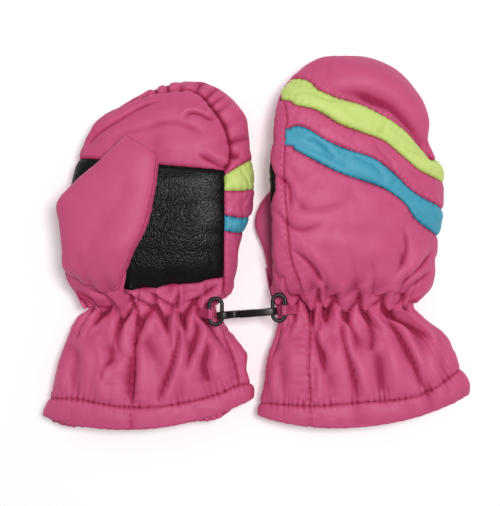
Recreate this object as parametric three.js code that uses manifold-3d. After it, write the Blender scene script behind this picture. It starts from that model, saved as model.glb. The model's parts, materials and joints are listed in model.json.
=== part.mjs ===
// A pair of child's ski mittens, joined by a double-ended clip and lying on a flat surface.
// The left mitten lies palm up with its thumb over the palm. The right one lies back up, its thumb under it.
// Millimetres. +Z is up from the surface, +Y points to the fingertips and +X to the right mitten.
import * as THREE from "three";
import { mergeVertices } from "three/addons/utils/BufferGeometryUtils.js";
import Module from "manifold-3d";

const wasm = await Module();
wasm.setup();

// ---- driving dimensions ----
const GAP = 0.3; // between pieces that touch on the real mitten
const SEAM = GAP / 2; // each panel stops this far from its seam line
const FABRIC = { from: 0, to: 1.0 }; // depth of each layer below the outer surface
const WADDING = { from: 1.35, to: 4.8 };
const LINING = { from: 5.2, to: 6.2 };
const ELASTIC = { from: 1.4, to: 2.6 };
const WRIST = 4.2; // half the width of the gathers, where the cuff bends from the hand
const ROUNDNESS = 2.5; // exponent of the cross-section's superellipse
const AROUND = 12; // facets round a hand, and along it
const ALONG = 11;
const THUMB_AROUND = 10;
const THUMB_ALONG = 6;
const THUMB_HOLE = 10.5; // radius of the passage from the hand to the thumb
const REACH = 150; // longer than any mitten, for cutting blocks
const RING = { radius: 3.15, straight: 6.6, wire: 1.0, height: 25.2 };
const CLIP = { wall: 1.2, slot: 4.0, width: 3.6, web: 4.0, lip: 9.3, toe: 10.3, play: 0.25 };
const TAB = { width: 3.6, wall: 1.1, hole: 1.3, tail: 11, slope: 2.2 };
// The middles of the bars of each ring across the pair, and where the rings and the clip's ends lie along it.
const RING_BARS = { leftInner: -23.5, leftOuter: -17.2, rightOuter: 7.9, rightInner: 14.2 };
const RING_Y = { left: -34.6, right: -32.8 };
const CLIP_Y = { left: -36.6, right: -34.6 };

// Each station of an outline is [left x, left y, left z, right x, right y, right z, half thickness, bow].
// The z values are the heights of the section's two edges. Bow is how far its middle dips towards the hem.
const LEFT_HAND = {
  origin: [-53.8, -34.0],
  palm: 1,
  dome: { width: 40, thickness: 14, start: 86 },
  stations: [
    [-55.5, -54.5, 12, 54.0, -45.0, 12, 12, 11.5],
    [-52.5, -45.0, 12.5, 53.5, -38.5, 12.5, 12.5, 9.5],
    [-49.5, -34.0, 13, 50.6, -31.0, 13, 13, 6],
    [-46.0, -22.5, 13, 48.5, -22.0, 13, 13, 3],
    [-40.5, -10.5, 11.5, 42.0, -11.5, 11.5, 11.5, 1],
    [-33.5, 0.0, 10.3, 33.2, -1.5, 10.3, 9.5, 0],
    [-36.5, 8.0, 11, 40.0, 7.0, 11, 11, 0],
    [-40.0, 19.0, 13.5, 44.4, 18.0, 13.5, 13.5, 0],
    [-42.3, 37.0, 15, 46.6, 35.0, 15, 15, 0],
    [-41.8, 52.5, 15, 52.4, 53.0, 15, 15, 0],
    [-40.0, 68.0, 15, 52.4, 70.0, 15, 15, 0],
    [-34.7, 84.0, 14.5, 50.2, 84.5, 14.5, 14.5, 0],
    [-24.5, 96.5, 14, 47.5, 97.5, 14, 13, 0],
    [-9.5, 107.5, 13.5, 39.5, 108.5, 13.5, 10.5, 0],
    [5.0, 114.2, 13, 29.5, 114.6, 13, 6.5, 0],
    [17.3, 116.5, 12.5, 17.3, 116.5, 12.5, 0, 0],
  ],
};
const RIGHT_HAND = {
  origin: [46.0, -37.1],
  palm: -1,
  dome: { width: 38, thickness: 13, start: 98 },
  stations: [
    [-43.0, -51.0, 12, 62.0, -41.0, 12, 12, 11],
    [-41.2, -44.5, 12.5, 61.5, -31.0, 12.5, 12.5, 9.5],
    [-39.8, -33.5, 13, 58.5, -23.5, 13, 13, 6],
    [-38.6, -21.0, 13, 55.0, -15.5, 13, 13, 3],
    [-36.8, -10.0, 11.5, 48.5, -7.0, 11.5, 11.5, 1],
    [-33.3, -1.5, 10.7, 35.0, 1.0, 10.1, 9.5, 0],
    [-36.5, 7.5, 14.5, 40.5, 8.5, 11, 10.5, 0],
    [-38.0, 18.0, 24.5, 45.5, 18.5, 11, 12.5, 0],
    [-38.0, 37.0, 31, 47.4, 38.0, 10.5, 13.5, 0],
    [-38.6, 55.0, 32, 50.3, 56.0, 10.5, 14, 0],
    [-38.8, 70.0, 32, 50.0, 72.0, 10.5, 14, 0],
    [-37.5, 87.0, 31, 45.5, 88.0, 11, 14, 0],
    [-34.3, 104.0, 28, 41.5, 104.0, 11, 13.5, 0],
    [-26.3, 119.5, 24, 31.5, 119.5, 11, 11.5, 0],
    [-13.5, 129.3, 21, 16.0, 129.6, 13, 7.5, 0],
    [1.5, 132.3, 17.5, 1.5, 132.3, 17.5, 0, 0],
  ],
};
const LEFT_THUMB = {
  palm: 1,
  hole: [-27, 24],
  dome: { width: 12, thickness: 6, start: 76 },
  stations: [
    [-28.0, 5.0, 35, -28.0, 5.0, 35, 0, 0],
    [-38.5, 9.5, 34, -16.5, 7.5, 36, 5, 0],
    [-44.0, 20.0, 33, -10.5, 17.0, 38.5, 7.5, 0],
    [-46.2, 34.0, 33, -5.5, 32.0, 40, 8, 0],
    [-47.6, 47.5, 33, -0.5, 46.5, 41, 8, 0],
    [-44.0, 57.8, 34, 3.0, 59.5, 41.5, 8, 0],
    [-30.0, 68.0, 36, 4.6, 71.5, 41, 7.5, 0],
    [-16.5, 79.0, 38, 3.4, 81.0, 40, 5.5, 0],
    [-6.0, 88.0, 39, -6.0, 88.0, 39, 0, 0],
  ],
};
const RIGHT_THUMB = {
  palm: -1,
  hole: [-26, 24],
  dome: { width: 10, thickness: 3.5, start: 68 },
  stations: [
    [-27.0, 8.0, 3.2, -27.0, 8.0, 3.2, 0, 0],
    [-35.5, 12.0, 4.0, -17.0, 10.5, 3.6, 3.4, 0],
    [-39.5, 21.0, 5.4, -11.5, 19.5, 4.6, 4.6, 0],
    [-42.2, 33.0, 5.9, -9.0, 32.0, 4.9, 5.4, 0],
    [-43.6, 45.0, 5.9, -7.5, 45.0, 4.9, 5.4, 0],
    [-42.2, 56.0, 5.9, -7.5, 57.0, 4.9, 5.4, 0],
    [-37.0, 66.0, 5.6, -9.5, 67.0, 4.6, 5.1, 0],
    [-29.5, 75.0, 5.0, -15.0, 75.5, 4.6, 4.2, 0],
    [-22.0, 79.5, 4.6, -22.0, 79.5, 4.6, 0, 0],
  ],
};

// Seam lines across a hand, as [x, y] points from the thumb's side to the little finger's side.
const RIGHT_SEAMS = {
  yellowTop: [[-70, 126], [-30, 123], [-18, 120.5], [-5, 112.5], [12, 106.5], [25, 100], [38, 91],
    [52, 78], [80, 60]],
  yellowBottom: [[-70, 112], [-34, 109], [-12, 104], [2, 97.5], [17, 92], [29, 82], [38, 74],
    [52, 66], [80, 52]],
  blueTop: [[-70, 98], [-24, 97], [-10, 92], [5, 84.5], [20, 77], [33, 66], [52, 52], [80, 36]],
  blueBottom: [[-70, 90], [-34, 87], [-22, 81.5], [-8, 76], [8, 69], [20, 65], [31, 57.5], [38, 47.5],
    [52, 39.5], [80, 30]],
  patchTop: [[-70, 80], [80, 80]],
  patchBottom: [[-70, 14], [80, 13]],
  hem: [[-70, -38], [-41, -44.6], [-27, -46.6], [-15, -47.8], [0, -47], [12, -45.3], [28, -43.2],
    [40, -41], [52, -35.2], [61, -30], [80, -22]],
};
const LEFT_SEAMS = {
  yellowTop: RIGHT_SEAMS.yellowTop.map(([x, y]) => [x, y - 9]),
  yellowBottom: RIGHT_SEAMS.yellowBottom.map(([x, y]) => [x, y - 7.5]),
  blueTop: RIGHT_SEAMS.blueTop.map(([x, y]) => [x, y - 5]),
  blueBottom: RIGHT_SEAMS.blueBottom.map(([x, y]) => [x, y - 3]),
  patchTop: [[-70, 76.5], [39, 76.5], [80, 73]],
  patchBottom: [[-70, 9], [-15, 9], [39, 13], [80, 15]],
  hem: [[-70, -42], [-52, -45.4], [-34, -48], [-15, -51.8], [3, -51.5], [16, -49.7], [32, -43.6],
    [42, -39.6], [53.5, -38], [80, -36]],
};
// The palm's fabric, seen from above: it ends at this line on the palm's own side, and wraps round the
// thumb's edge.
const PALM_EDGE = {
  left: [[50.5, -75], [46.4, -38.8], [42.3, -21], [36.7, -11], [29.5, -1], [36, 5.5], [39, 12],
    [39.3, 35], [38.8, 73], [45, 78], [45.4, 84], [43.5, 92], [38, 102], [30, 109], [20, 112.5],
    [7, 111], [-9, 104.5], [-23, 95.5], [-31, 85]],
  right: [[55, -75], [52, -38], [48, -20], [42, -9], [30, 1], [38, 8], [40, 14], [40.5, 40], [40, 78],
    [43, 86], [41, 96], [36, 108], [28, 118], [15, 125.5], [0, 127.5], [-14, 124], [-24, 116],
    [-30, 104], [-33, 92]],
};
// On the back, a strip runs along the thumb's edge up to this line.
const BACK_EDGE = [[-19, -80], [-19, -8], [-22, 7], [-26.5, 22], [-28.5, 50], [-30, 68], [-31, 86],
  [-31, 104]];
const PALM_CENTRE_SEAM = [[-12, -75], [-8, -20], [-5, 6]];

const fabric = (hex) => new THREE.MeshStandardMaterial({ color: hex, roughness: 0.75, metalness: 0 });
const MATERIALS = {
  pink: fabric(0xc4537f),
  yellow: fabric(0xc8dd85),
  blue: fabric(0x459ab4),
  patch: new THREE.MeshStandardMaterial({ color: 0x232325, roughness: 0.45, metalness: 0 }),
  wadding: fabric(0xf0eee8),
  lining: fabric(0xc96a8c),
  elastic: fabric(0xe8e6e0),
  black: new THREE.MeshStandardMaterial({ color: 0x1c1a1b, roughness: 0.4, metalness: 0 }),
};

// ---- solids ----
// A closed three.js geometry as a solid for joining and cutting, without faces squeezed to nothing at a tip.
function solid(geometry) {
  const bare = geometry.clone();
  bare.deleteAttribute("normal");
  bare.deleteAttribute("uv");
  const merged = mergeVertices(bare, 1e-3);
  const index = merged.index.array;
  const kept = [];
  for (let i = 0; i < index.length; i += 3) {
    const [a, b, c] = [index[i], index[i + 1], index[i + 2]];
    if (a !== b && b !== c && c !== a) kept.push(a, b, c);
  }
  const vertProperties = merged.attributes.position.array;
  return new wasm.Manifold(new wasm.Mesh({ numProp: 3, vertProperties, triVerts: new Uint32Array(kept) }));
}

// A named mesh of a solid.
function piece(name, shape, material) {
  const { numProp, vertProperties, triVerts } = shape.getMesh();
  const count = vertProperties.length / numProp;
  const positions = new Float32Array(count * 3);
  for (let i = 0; i < count; i++) {
    positions.set(vertProperties.subarray(i * numProp, i * numProp + 3), i * 3);
  }
  const geometry = new THREE.BufferGeometry();
  geometry.setAttribute("position", new THREE.BufferAttribute(positions, 3));
  geometry.setIndex(new THREE.BufferAttribute(triVerts, 1));
  const mesh = new THREE.Mesh(geometry, material);
  mesh.name = name;
  return mesh;
}

// Moves each vertex of a geometry to where place(x, y, z) says.
function moved(geometry, place) {
  const position = geometry.getAttribute("position");
  for (let i = 0; i < position.count; i++) {
    const point = place(position.getX(i), position.getY(i), position.getZ(i));
    position.setXYZ(i, point.x, point.y, point.z);
  }
  return geometry;
}

// The part of a cut shape that is biggest, without the crumbs that a cut can leave.
function largest(shape) {
  const parts = shape.decompose();
  return parts.reduce((best, part) => (part.volume() > best.volume() ? part : best));
}

// ---- the mitten's surface ----
// Smooth curves through the stations: the two edges, and the half thickness with the bow.
function curvesOf(spec) {
  if (!spec.curves) {
    const curve = (pick) => new THREE.CatmullRomCurve3(spec.stations.map(pick), false, "catmullrom", 0.5);
    spec.curves = {
      left: curve((s) => new THREE.Vector3(s[0], s[1], s[2])),
      right: curve((s) => new THREE.Vector3(s[3], s[4], s[5])),
      body: curve((s) => new THREE.Vector3(s[6], s[7], 0)),
    };
  }
  return spec.curves;
}

// The centre, half width and half thickness of the section at v, from 0 at the hem to 1 at the tip.
function sectionAt(spec, v, depth) {
  const { left, right, body } = curvesOf(spec);
  const from = left.getPoint(v);
  const to = right.getPoint(v);
  const centre = from.clone().add(to).multiplyScalar(0.5);
  const half = to.clone().sub(from).multiplyScalar(0.5);
  const { x: thickness, y: bow } = body.getPoint(v);
  const { width, thickness: domeThickness, start } = spec.dome;
  half.multiplyScalar(1 - depth / Math.max(half.length(), width));
  const inner = Math.max(thickness, 0) * (1 - depth / Math.max(thickness, domeThickness));
  const tipShift = THREE.MathUtils.clamp((centre.y - start) / (spec.stations.at(-1)[1] - start), 0, 1);
  centre.y -= depth * tipShift;
  return { centre, half, thickness: inner, bow };
}

// The point of the surface at v and angle, depth below the outside.
function surfacePoint(spec, v, angle, depth) {
  const { centre, half, thickness, bow } = sectionAt(spec, v, depth);
  const across = Math.sign(Math.cos(angle)) * Math.abs(Math.cos(angle)) ** (2 / ROUNDNESS);
  const up = Math.sign(Math.sin(angle)) * Math.abs(Math.sin(angle)) ** (2 / ROUNDNESS);
  const normal = new THREE.Vector3(-half.z, 0, half.x);
  if (normal.length() > 0) normal.normalize();
  const point = centre.clone().addScaledVector(half, across).addScaledVector(normal, thickness * up);
  point.y -= bow * (1 - across * across);
  return point;
}

// The whole inside of the surface at a depth as one solid. overshoot carries its open end on, to cut cleanly.
function filled(spec, depth, around, along, overshoot = 0) {
  const last = 1 - 0.25 / along;
  return solid(
    moved(new THREE.CylinderGeometry(1, 1, 1, around, along), (x, y, z) => {
      const v = y + 0.5;
      const onAxis = Math.hypot(x, z) < 0.5;
      const row = onAxis && v > 0.5 ? 1 : Math.min(v, last);
      const angle = Math.atan2(z, x) + Math.PI / around;
      const at = (level) => {
        if (!onAxis) return surfacePoint(spec, level, angle, depth);
        const { centre, bow } = sectionAt(spec, level, depth);
        return centre.clone().add(new THREE.Vector3(0, level < 0.5 ? -bow : 0, 0));
      };
      const point = at(row);
      if (v > 0.5 / along || overshoot === 0) return point;
      const step = point.clone().sub(at(1 / along));
      return point.addScaledVector(step, overshoot / step.length());
    }),
  );
}

// One layer of a hand: the space between two depths.
function layer(spec, { from, to }) {
  return filled(spec, from, AROUND, ALONG).subtract(filled(spec, to, AROUND, ALONG, 6));
}

// A block over an outline in the XY plane.
function prism(points, low = -REACH, high = REACH) {
  const shape = new THREE.Shape(points.map(([x, y]) => new THREE.Vector2(x, y)));
  const block = new THREE.ExtrudeGeometry(shape, { depth: high - low, bevelEnabled: false, steps: 1 });
  return solid(block.translate(0, 0, low));
}

// The block between two seam lines, kept clear of both. No line means no limit on that side.
function band(low, high) {
  const bottom = low ? low.map(([x, y]) => [x, y + SEAM]) : [[-REACH, -REACH], [REACH, -REACH]];
  const top = high ? high.map(([x, y]) => [x, y - SEAM]) : [[-REACH, REACH], [REACH, REACH]];
  return prism([...bottom, ...[...top].reverse()]);
}

// The half of space on the palm's side of the hand's middle surface (side 1), or on the back's (side -1).
function halfSpace(spec, side, grow) {
  const rows = 200;
  const middle = (x, y) => {
    let best = null;
    for (let i = 0; i <= rows; i++) {
      const { centre, half } = sectionAt(spec, i / rows, 0);
      const distance = Math.abs(centre.y - y);
      if (best && distance >= best.distance) continue;
      best = { distance, centre, slope: half.x > 1 ? half.z / half.x : 0 };
    }
    return best.centre.z + best.slope * (x - best.centre.x);
  };
  const up = side * spec.palm;
  const below = solid(
    moved(new THREE.BoxGeometry(1, 1, 1, 1, ALONG, 1), (u, v, w) => {
      const x = u * 2 * REACH;
      const y = v * 2 * REACH;
      return new THREE.Vector3(x, y, w > 0 ? middle(x, y) - up * grow : -REACH);
    }),
  );
  if (up < 0) return below;
  return solid(new THREE.BoxGeometry(2 * REACH, 2 * REACH, 2 * REACH)).subtract(below);
}

// A closed outline, drawn clockwise or not, with every side moved out by the same distance.
function grown(points, distance) {
  const count = points.length;
  const area = points.reduce((sum, [x, y], i) => {
    const [nextX, nextY] = points[(i + 1) % count];
    return sum + x * nextY - nextX * y;
  }, 0);
  const out = Math.sign(area) * distance;
  const sideNormal = ([ax, ay], [bx, by]) => {
    const length = Math.hypot(bx - ax, by - ay);
    return [(by - ay) / length, -(bx - ax) / length];
  };
  return points.map((point, i) => {
    const [ax, ay] = sideNormal(points[(i + count - 1) % count], point);
    const [bx, by] = sideNormal(point, points[(i + 1) % count]);
    const share = out / (1 + ax * bx + ay * by);
    return [point[0] + share * (ax + bx), point[1] + share * (ay + by)];
  });
}

// The palm's side of the hand inside the palm's edge, or the rest of it.
function palmSpace(spec, edge, grow) {
  const outline = [...edge, [-90, edge.at(-1)[1]], [-90, -80]];
  return prism(grown(outline, grow)).intersect(halfSpace(spec, 1, grow));
}

// The strip along the thumb's edge of the back, from the hem to the yellow stripe.
function sideSpace(spec, grow) {
  const outline = [...BACK_EDGE, [-90, BACK_EDGE.at(-1)[1]], [-90, -80]];
  return prism(grown(outline, grow)).intersect(halfSpace(spec, -1, -SEAM));
}

// The upright passage that joins a hand and its thumb.
function thumbPassage([x, y], from, to, radius = THUMB_HOLE) {
  const tube = new THREE.CylinderGeometry(radius, radius, to - from, 16).rotateX(Math.PI / 2);
  return solid(tube.translate(x, y, (from + to) / 2));
}

// ---- one hand and its cuff ----
function buildHand(side, spec, thumb, seams, edge) {
  const middleHeight = spec.palm > 0 ? 14 : 21; // of the pocket, over or under the passage
  const [from, to] = spec.palm > 0 ? [middleHeight, 80] : [-20, middleHeight];
  const hole = thumbPassage(thumb.hole, from, to);
  const slab = (low, high) => prism([[-REACH, low], [REACH, low], [REACH, high], [-REACH, high]]);
  const above = slab(WRIST + SEAM, REACH);
  const below = slab(-REACH, -WRIST - SEAM);
  const wrist = slab(-WRIST + SEAM, WRIST - SEAM);
  const shell = layer(spec, FABRIC).subtract(hole);
  const palm = shell.intersect(palmSpace(spec, edge, -SEAM));
  const rest = shell.subtract(palmSpace(spec, edge, SEAM));
  const strip = rest.intersect(sideSpace(spec, -SEAM));
  const back = rest.subtract(sideSpace(spec, SEAM));
  const thumbHalf = prism([...PALM_CENTRE_SEAM.map(([x, y]) => [x - SEAM, y]), [-90, 40], [-90, -80]]);
  const fingerHalf = prism([...PALM_CENTRE_SEAM.map(([x, y]) => [x + SEAM, y]), [90, 40], [90, -80]]);
  const palmBase = palm.intersect(band(seams.hem, seams.patchBottom));
  const cuffBody = band(seams.hem, null).intersect(below);
  const wadding = layer(spec, WADDING);
  const lining = layer(spec, LINING);
  const parts = {
    fingertip_panel: [back.intersect(band(seams.yellowTop, null)), "pink"],
    yellow_stripe: [back.intersect(band(seams.yellowBottom, seams.yellowTop)), "yellow"],
    middle_panel: [back.intersect(band(seams.blueTop, seams.yellowBottom)), "pink"],
    blue_stripe: [back.intersect(band(seams.blueBottom, seams.blueTop)), "blue"],
    back_panel: [back.intersect(band(null, seams.blueBottom)).intersect(above), "pink"],
    side_panel: [strip.intersect(above), "pink"],
    palm_tip_panel: [palm.intersect(band(seams.patchTop, null)), "pink"],
    palm_patch: [palm.intersect(band(seams.patchBottom, seams.patchTop)), "patch"],
    palm_heel_panel: [palmBase.intersect(above), "pink"],
    hand_wadding: [wadding.intersect(above).subtract(hole), "wadding"],
    hand_lining: [lining.intersect(above).subtract(hole), "lining"],
    wrist_gather: [shell.intersect(wrist), "pink"],
    wrist_elastic: [layer(spec, ELASTIC).intersect(wrist), "elastic"],
    wrist_lining: [lining.intersect(wrist), "lining"],
    cuff_thumb_side_panel: [palm.intersect(cuffBody).intersect(thumbHalf), "pink"],
    cuff_finger_side_panel: [palm.intersect(cuffBody).intersect(fingerHalf), "pink"],
    cuff_side_panel: [strip.intersect(cuffBody), "pink"],
    cuff_back_panel: [back.intersect(cuffBody), "pink"],
    hem_band: [shell.intersect(band(null, seams.hem)), "pink"],
    cuff_wadding: [wadding.intersect(below), "wadding"],
    cuff_lining: [lining.intersect(below), "lining"],
  };
  return Object.entries(parts).map(([name, [shape, material]]) =>
    piece(`${side}_${name}`, largest(shape), MATERIALS[material]),
  );
}

// ---- one thumb, a closed sock that opens into the hand ----
function buildThumb(side, spec) {
  const thumbLayer = ({ from, to }) =>
    filled(spec, from, THUMB_AROUND, THUMB_ALONG).subtract(filled(spec, to, THUMB_AROUND, THUMB_ALONG));
  const scale = spec.palm > 0 ? 0.72 : 0.42; // a pressed thumb's layers are thinner
  const thin = ({ from, to }) => ({ from: from * scale, to: to * scale });
  const root = spec.stations[3][2];
  const [from, to] = spec.palm > 0 ? [-20, root + 3] : [root, 80];
  const hole = thumbPassage(spec.hole, from, to);
  const shell = thumbLayer(thin(FABRIC)).subtract(hole);
  const parts = {
    thumb_front_panel: [shell.intersect(halfSpace(spec, 1, -SEAM)), "pink"],
    thumb_back_panel: [shell.intersect(halfSpace(spec, -1, -SEAM)), "pink"],
    thumb_wadding: [thumbLayer(thin(WADDING)).subtract(hole), "wadding"],
    thumb_lining: [thumbLayer(thin(LINING)).subtract(hole), "lining"],
  };
  return Object.entries(parts).map(([name, [shape, material]]) =>
    piece(`${side}_${name}`, largest(shape), MATERIALS[material]),
  );
}

// ---- rings, their tabs and the clip ----
function ringSolid() {
  const ring = new THREE.TorusGeometry(RING.radius, RING.wire, 6, 16);
  const half = RING.straight / 2;
  return solid(moved(ring, (x, y, z) => new THREE.Vector3(x, y + Math.sign(Math.round(y * 100)) * half, z)));
}

// A nylon tab folded round the ring's inner bar. Its tail is trimmed to the hand's surface.
function tabSolid(towards) {
  const outer = TAB.hole + TAB.wall;
  const outline = new THREE.Shape();
  outline.absarc(0, 0, outer, Math.PI / 2, (3 * Math.PI) / 2, false);
  outline.lineTo(TAB.tail, -outer * 0.55 - TAB.slope);
  outline.lineTo(TAB.tail, outer * 0.2 - TAB.slope);
  outline.holes.push(new THREE.Path().absarc(0, 0, TAB.hole, 0, 2 * Math.PI, true));
  const tab = new THREE.ExtrudeGeometry(outline, { depth: TAB.width, bevelEnabled: false, curveSegments: 8 });
  tab.translate(0, 0, -TAB.width / 2).rotateX(Math.PI / 2);
  if (towards < 0) tab.rotateZ(Math.PI);
  return solid(tab);
}

// The clip's frame: a flat link with a slot at each end, each slot open on one side for its gate.
function clipFrame(halfLength) {
  const halfHeight = CLIP.slot / 2 + CLIP.wall;
  const end = halfLength - halfHeight;
  const outline = new THREE.Shape();
  outline.absarc(end, 0, halfHeight, -Math.PI / 2, Math.PI / 2, false);
  outline.absarc(-end, 0, halfHeight, Math.PI / 2, (3 * Math.PI) / 2, false);
  let frame = extrudedProfile(outline, CLIP.width);
  for (const side of [-1, 1]) {
    const slot = new THREE.Shape();
    const start = Math.PI / 2 - (side > 0 ? Math.PI : 0);
    slot.absarc(side * end, 0, CLIP.slot / 2, start, start + Math.PI, false);
    slot.lineTo(side * CLIP.web, side * (CLIP.slot / 2));
    slot.lineTo(side * CLIP.web, -side * (CLIP.slot / 2));
    const mouth = new THREE.BoxGeometry(CLIP.lip - CLIP.web, 10, CLIP.wall + 1);
    mouth.translate((side * (CLIP.lip + CLIP.web)) / 2, 0, -side * (CLIP.slot / 2 + CLIP.wall / 2 + 0.3));
    frame = frame.subtract(extrudedProfile(slot, 2 * CLIP.width)).subtract(solid(mouth));
  }
  return frame;
}

// A profile drawn in X and Z, so wide along Y.
function extrudedProfile(outline, width) {
  const profile = new THREE.ExtrudeGeometry(outline, { depth: width, bevelEnabled: false, curveSegments: 8 });
  return solid(profile.translate(0, 0, -width / 2).rotateX(Math.PI / 2));
}

// A sprung gate that fills the left slot's mouth, with a toe that stops under the lip.
function gateSolid(side) {
  const top = CLIP.slot / 2 + CLIP.wall - 0.1;
  const under = CLIP.slot / 2 - GAP;
  const low = 0.9;
  const root = CLIP.web + GAP;
  const end = CLIP.lip - GAP;
  const mouth = [[-root, low], [-root, top], [-end, top], [-end, under]];
  const corners = [...mouth, [-CLIP.toe, under], [-CLIP.toe, low]];
  const outline = new THREE.Shape(corners.map(([x, z]) => new THREE.Vector2(-side * x, -side * z)));
  return extrudedProfile(outline, CLIP.width - 0.4);
}

// ---- assembly ----
const pair = new THREE.Group();

function addHand(side, spec, thumb, seams, edge) {
  const hand = new THREE.Group();
  hand.add(...buildHand(side, spec, thumb, seams, edge), ...buildThumb(side, thumb));
  hand.position.set(spec.origin[0], spec.origin[1], 0);
  pair.add(hand);
}
addHand("left", LEFT_HAND, LEFT_THUMB, LEFT_SEAMS, PALM_EDGE.left);
addHand("right", RIGHT_HAND, RIGHT_THUMB, RIGHT_SEAMS, PALM_EDGE.right);

// A ring and the tab that holds its inner bar, trimmed where it lies on the hand.
function addRing(side, spec, inner, outer, y, towards) {
  const ring = piece(`${side}_ring`, ringSolid(), MATERIALS.black);
  ring.position.set((inner + outer) / 2, y, RING.height);
  const hand = filled(spec, -GAP, AROUND, ALONG).translate([spec.origin[0], spec.origin[1], 0]);
  const tab = tabSolid(towards).translate([inner, y, RING.height]).subtract(hand);
  pair.add(ring, piece(`${side}_ring_tab`, largest(tab), MATERIALS.pink));
}
addRing("left", LEFT_HAND, RING_BARS.leftInner, RING_BARS.leftOuter, RING_Y.left, -1);
addRing("right", RIGHT_HAND, RING_BARS.rightInner, RING_BARS.rightOuter, RING_Y.right, 1);

const clip = new THREE.Group();
const clipStep = new THREE.Vector2(RING_BARS.rightOuter - RING_BARS.leftOuter, CLIP_Y.right - CLIP_Y.left);
const clipHalf = clipStep.length() / 2 + RING.wire + CLIP.play + CLIP.wall;
clip.add(
  piece("clip_frame", clipFrame(clipHalf), MATERIALS.black),
  piece("left_clip_gate", gateSolid(-1), MATERIALS.black),
  piece("right_clip_gate", gateSolid(1), MATERIALS.black),
);
const clipX = (RING_BARS.leftOuter + RING_BARS.rightOuter) / 2;
clip.position.set(clipX, (CLIP_Y.left + CLIP_Y.right) / 2, RING.height);
clip.rotation.z = clipStep.angle();
pair.add(clip);

// The origin is under the middle of the pair.
const bounds = new THREE.Box3().setFromObject(pair);
const middle = bounds.getCenter(new THREE.Vector3());
pair.position.set(-middle.x, -middle.y, -bounds.min.z);

export default pair;
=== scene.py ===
import itertools
import json
import math

import bpy
import numpy as np
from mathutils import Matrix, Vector
from mathutils.bvhtree import BVHTree


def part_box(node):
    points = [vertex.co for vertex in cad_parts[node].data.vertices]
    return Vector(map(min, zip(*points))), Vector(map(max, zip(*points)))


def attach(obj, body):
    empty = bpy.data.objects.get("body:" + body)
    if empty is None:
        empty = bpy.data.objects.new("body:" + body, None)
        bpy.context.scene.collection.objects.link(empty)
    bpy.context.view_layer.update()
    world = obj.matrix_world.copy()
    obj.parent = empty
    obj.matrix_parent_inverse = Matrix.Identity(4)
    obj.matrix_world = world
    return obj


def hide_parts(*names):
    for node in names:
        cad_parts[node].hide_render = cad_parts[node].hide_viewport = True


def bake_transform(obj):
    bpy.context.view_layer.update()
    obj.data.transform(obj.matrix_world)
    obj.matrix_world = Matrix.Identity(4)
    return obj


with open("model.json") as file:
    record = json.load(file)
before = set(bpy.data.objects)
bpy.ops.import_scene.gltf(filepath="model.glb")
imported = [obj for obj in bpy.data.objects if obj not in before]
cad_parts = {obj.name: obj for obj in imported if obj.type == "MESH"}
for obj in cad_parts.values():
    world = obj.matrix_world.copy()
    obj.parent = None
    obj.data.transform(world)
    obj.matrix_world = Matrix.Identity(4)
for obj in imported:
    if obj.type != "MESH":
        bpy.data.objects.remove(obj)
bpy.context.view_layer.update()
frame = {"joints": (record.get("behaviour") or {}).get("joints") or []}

MM = 0.001
ROUNDNESS = 2.35  # exponent of the cross-section's superellipse
THUMB_ROUNDNESS = 2.9
N_AROUND = 300  # columns and rows of the fine fabric grid of a mitten
N_ALONG = 330
FABRIC_THICKNESS = 0.7
CREASE_GAIN = 1.2  # how much deeper the long creases are than their tables say
LOWEST = 0.35  # the fabric lies flat on the surface at this height
LANDING = 1.2  # how far above that height the fabric starts to flatten
FOLD_REACHES = (2, 3, 6)  # grid steps over which the fabric round a point is averaged
FULL_SHADE = 1.3  # a fold this deep gets the darkest painted shade
PANEL_EDGE = 0.02  # the panels stop this far short of a seam's middle
PLAIN_MARK = 9.0  # a point this far from a seam shows nothing of it
SKIN_INSET = 0.9  # how far the fabric lies under the surface that the outlines give, before its folds
TIP_FADE = 0.05  # the last share of the length, over which seams and wrinkles fade at the tip

# ---- outlines, in each mitten's own frame, with the wrist near y = 0 ----
# Each station is [left x, left y, left z, right x, right y, right z, half thickness, bow].
LEFT_HAND = [
    [-54.6, -53, 12, 53, -44.5, 12, 12, 10],
    [-52, -44.5, 12.5, 52.6, -38.5, 12.5, 12.5, 8.5],
    [-48.8, -34, 13, 49.6, -31, 13, 13, 6],
    [-45.2, -22.5, 13, 48.2, -22, 13, 13, 3],
    [-40.2, -10.5, 11.5, 41.2, -11.5, 11.5, 11.5, 1],
    [-32.8, 0, 10.3, 34, -1.5, 10.3, 9.5, 0],
    [-36, 8, 11, 39.2, 7, 11, 11, 0],
    [-40, 19, 13.5, 43.6, 18, 13.5, 13.5, 0],
    [-41.6, 37, 15, 47.4, 35, 15, 15, 0],
    [-41.8, 52.5, 15, 53.2, 53, 15, 15, 0],
    [-39.4, 68, 15, 53.6, 70, 15, 15, 0],
    [-34, 83, 14.5, 51, 84.5, 14.5, 14.5, 0],
    [-24.4, 95.5, 14, 48.4, 97, 14, 13, 0],
    [-8.6, 106.5, 13.5, 39.5, 107.5, 13.5, 10.5, 0],
    [5.5, 113.4, 13, 29, 114, 13, 6.5, 0],
    [17.5, 116, 12.5, 17.5, 116, 12.5, 0, 0],
]
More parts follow.
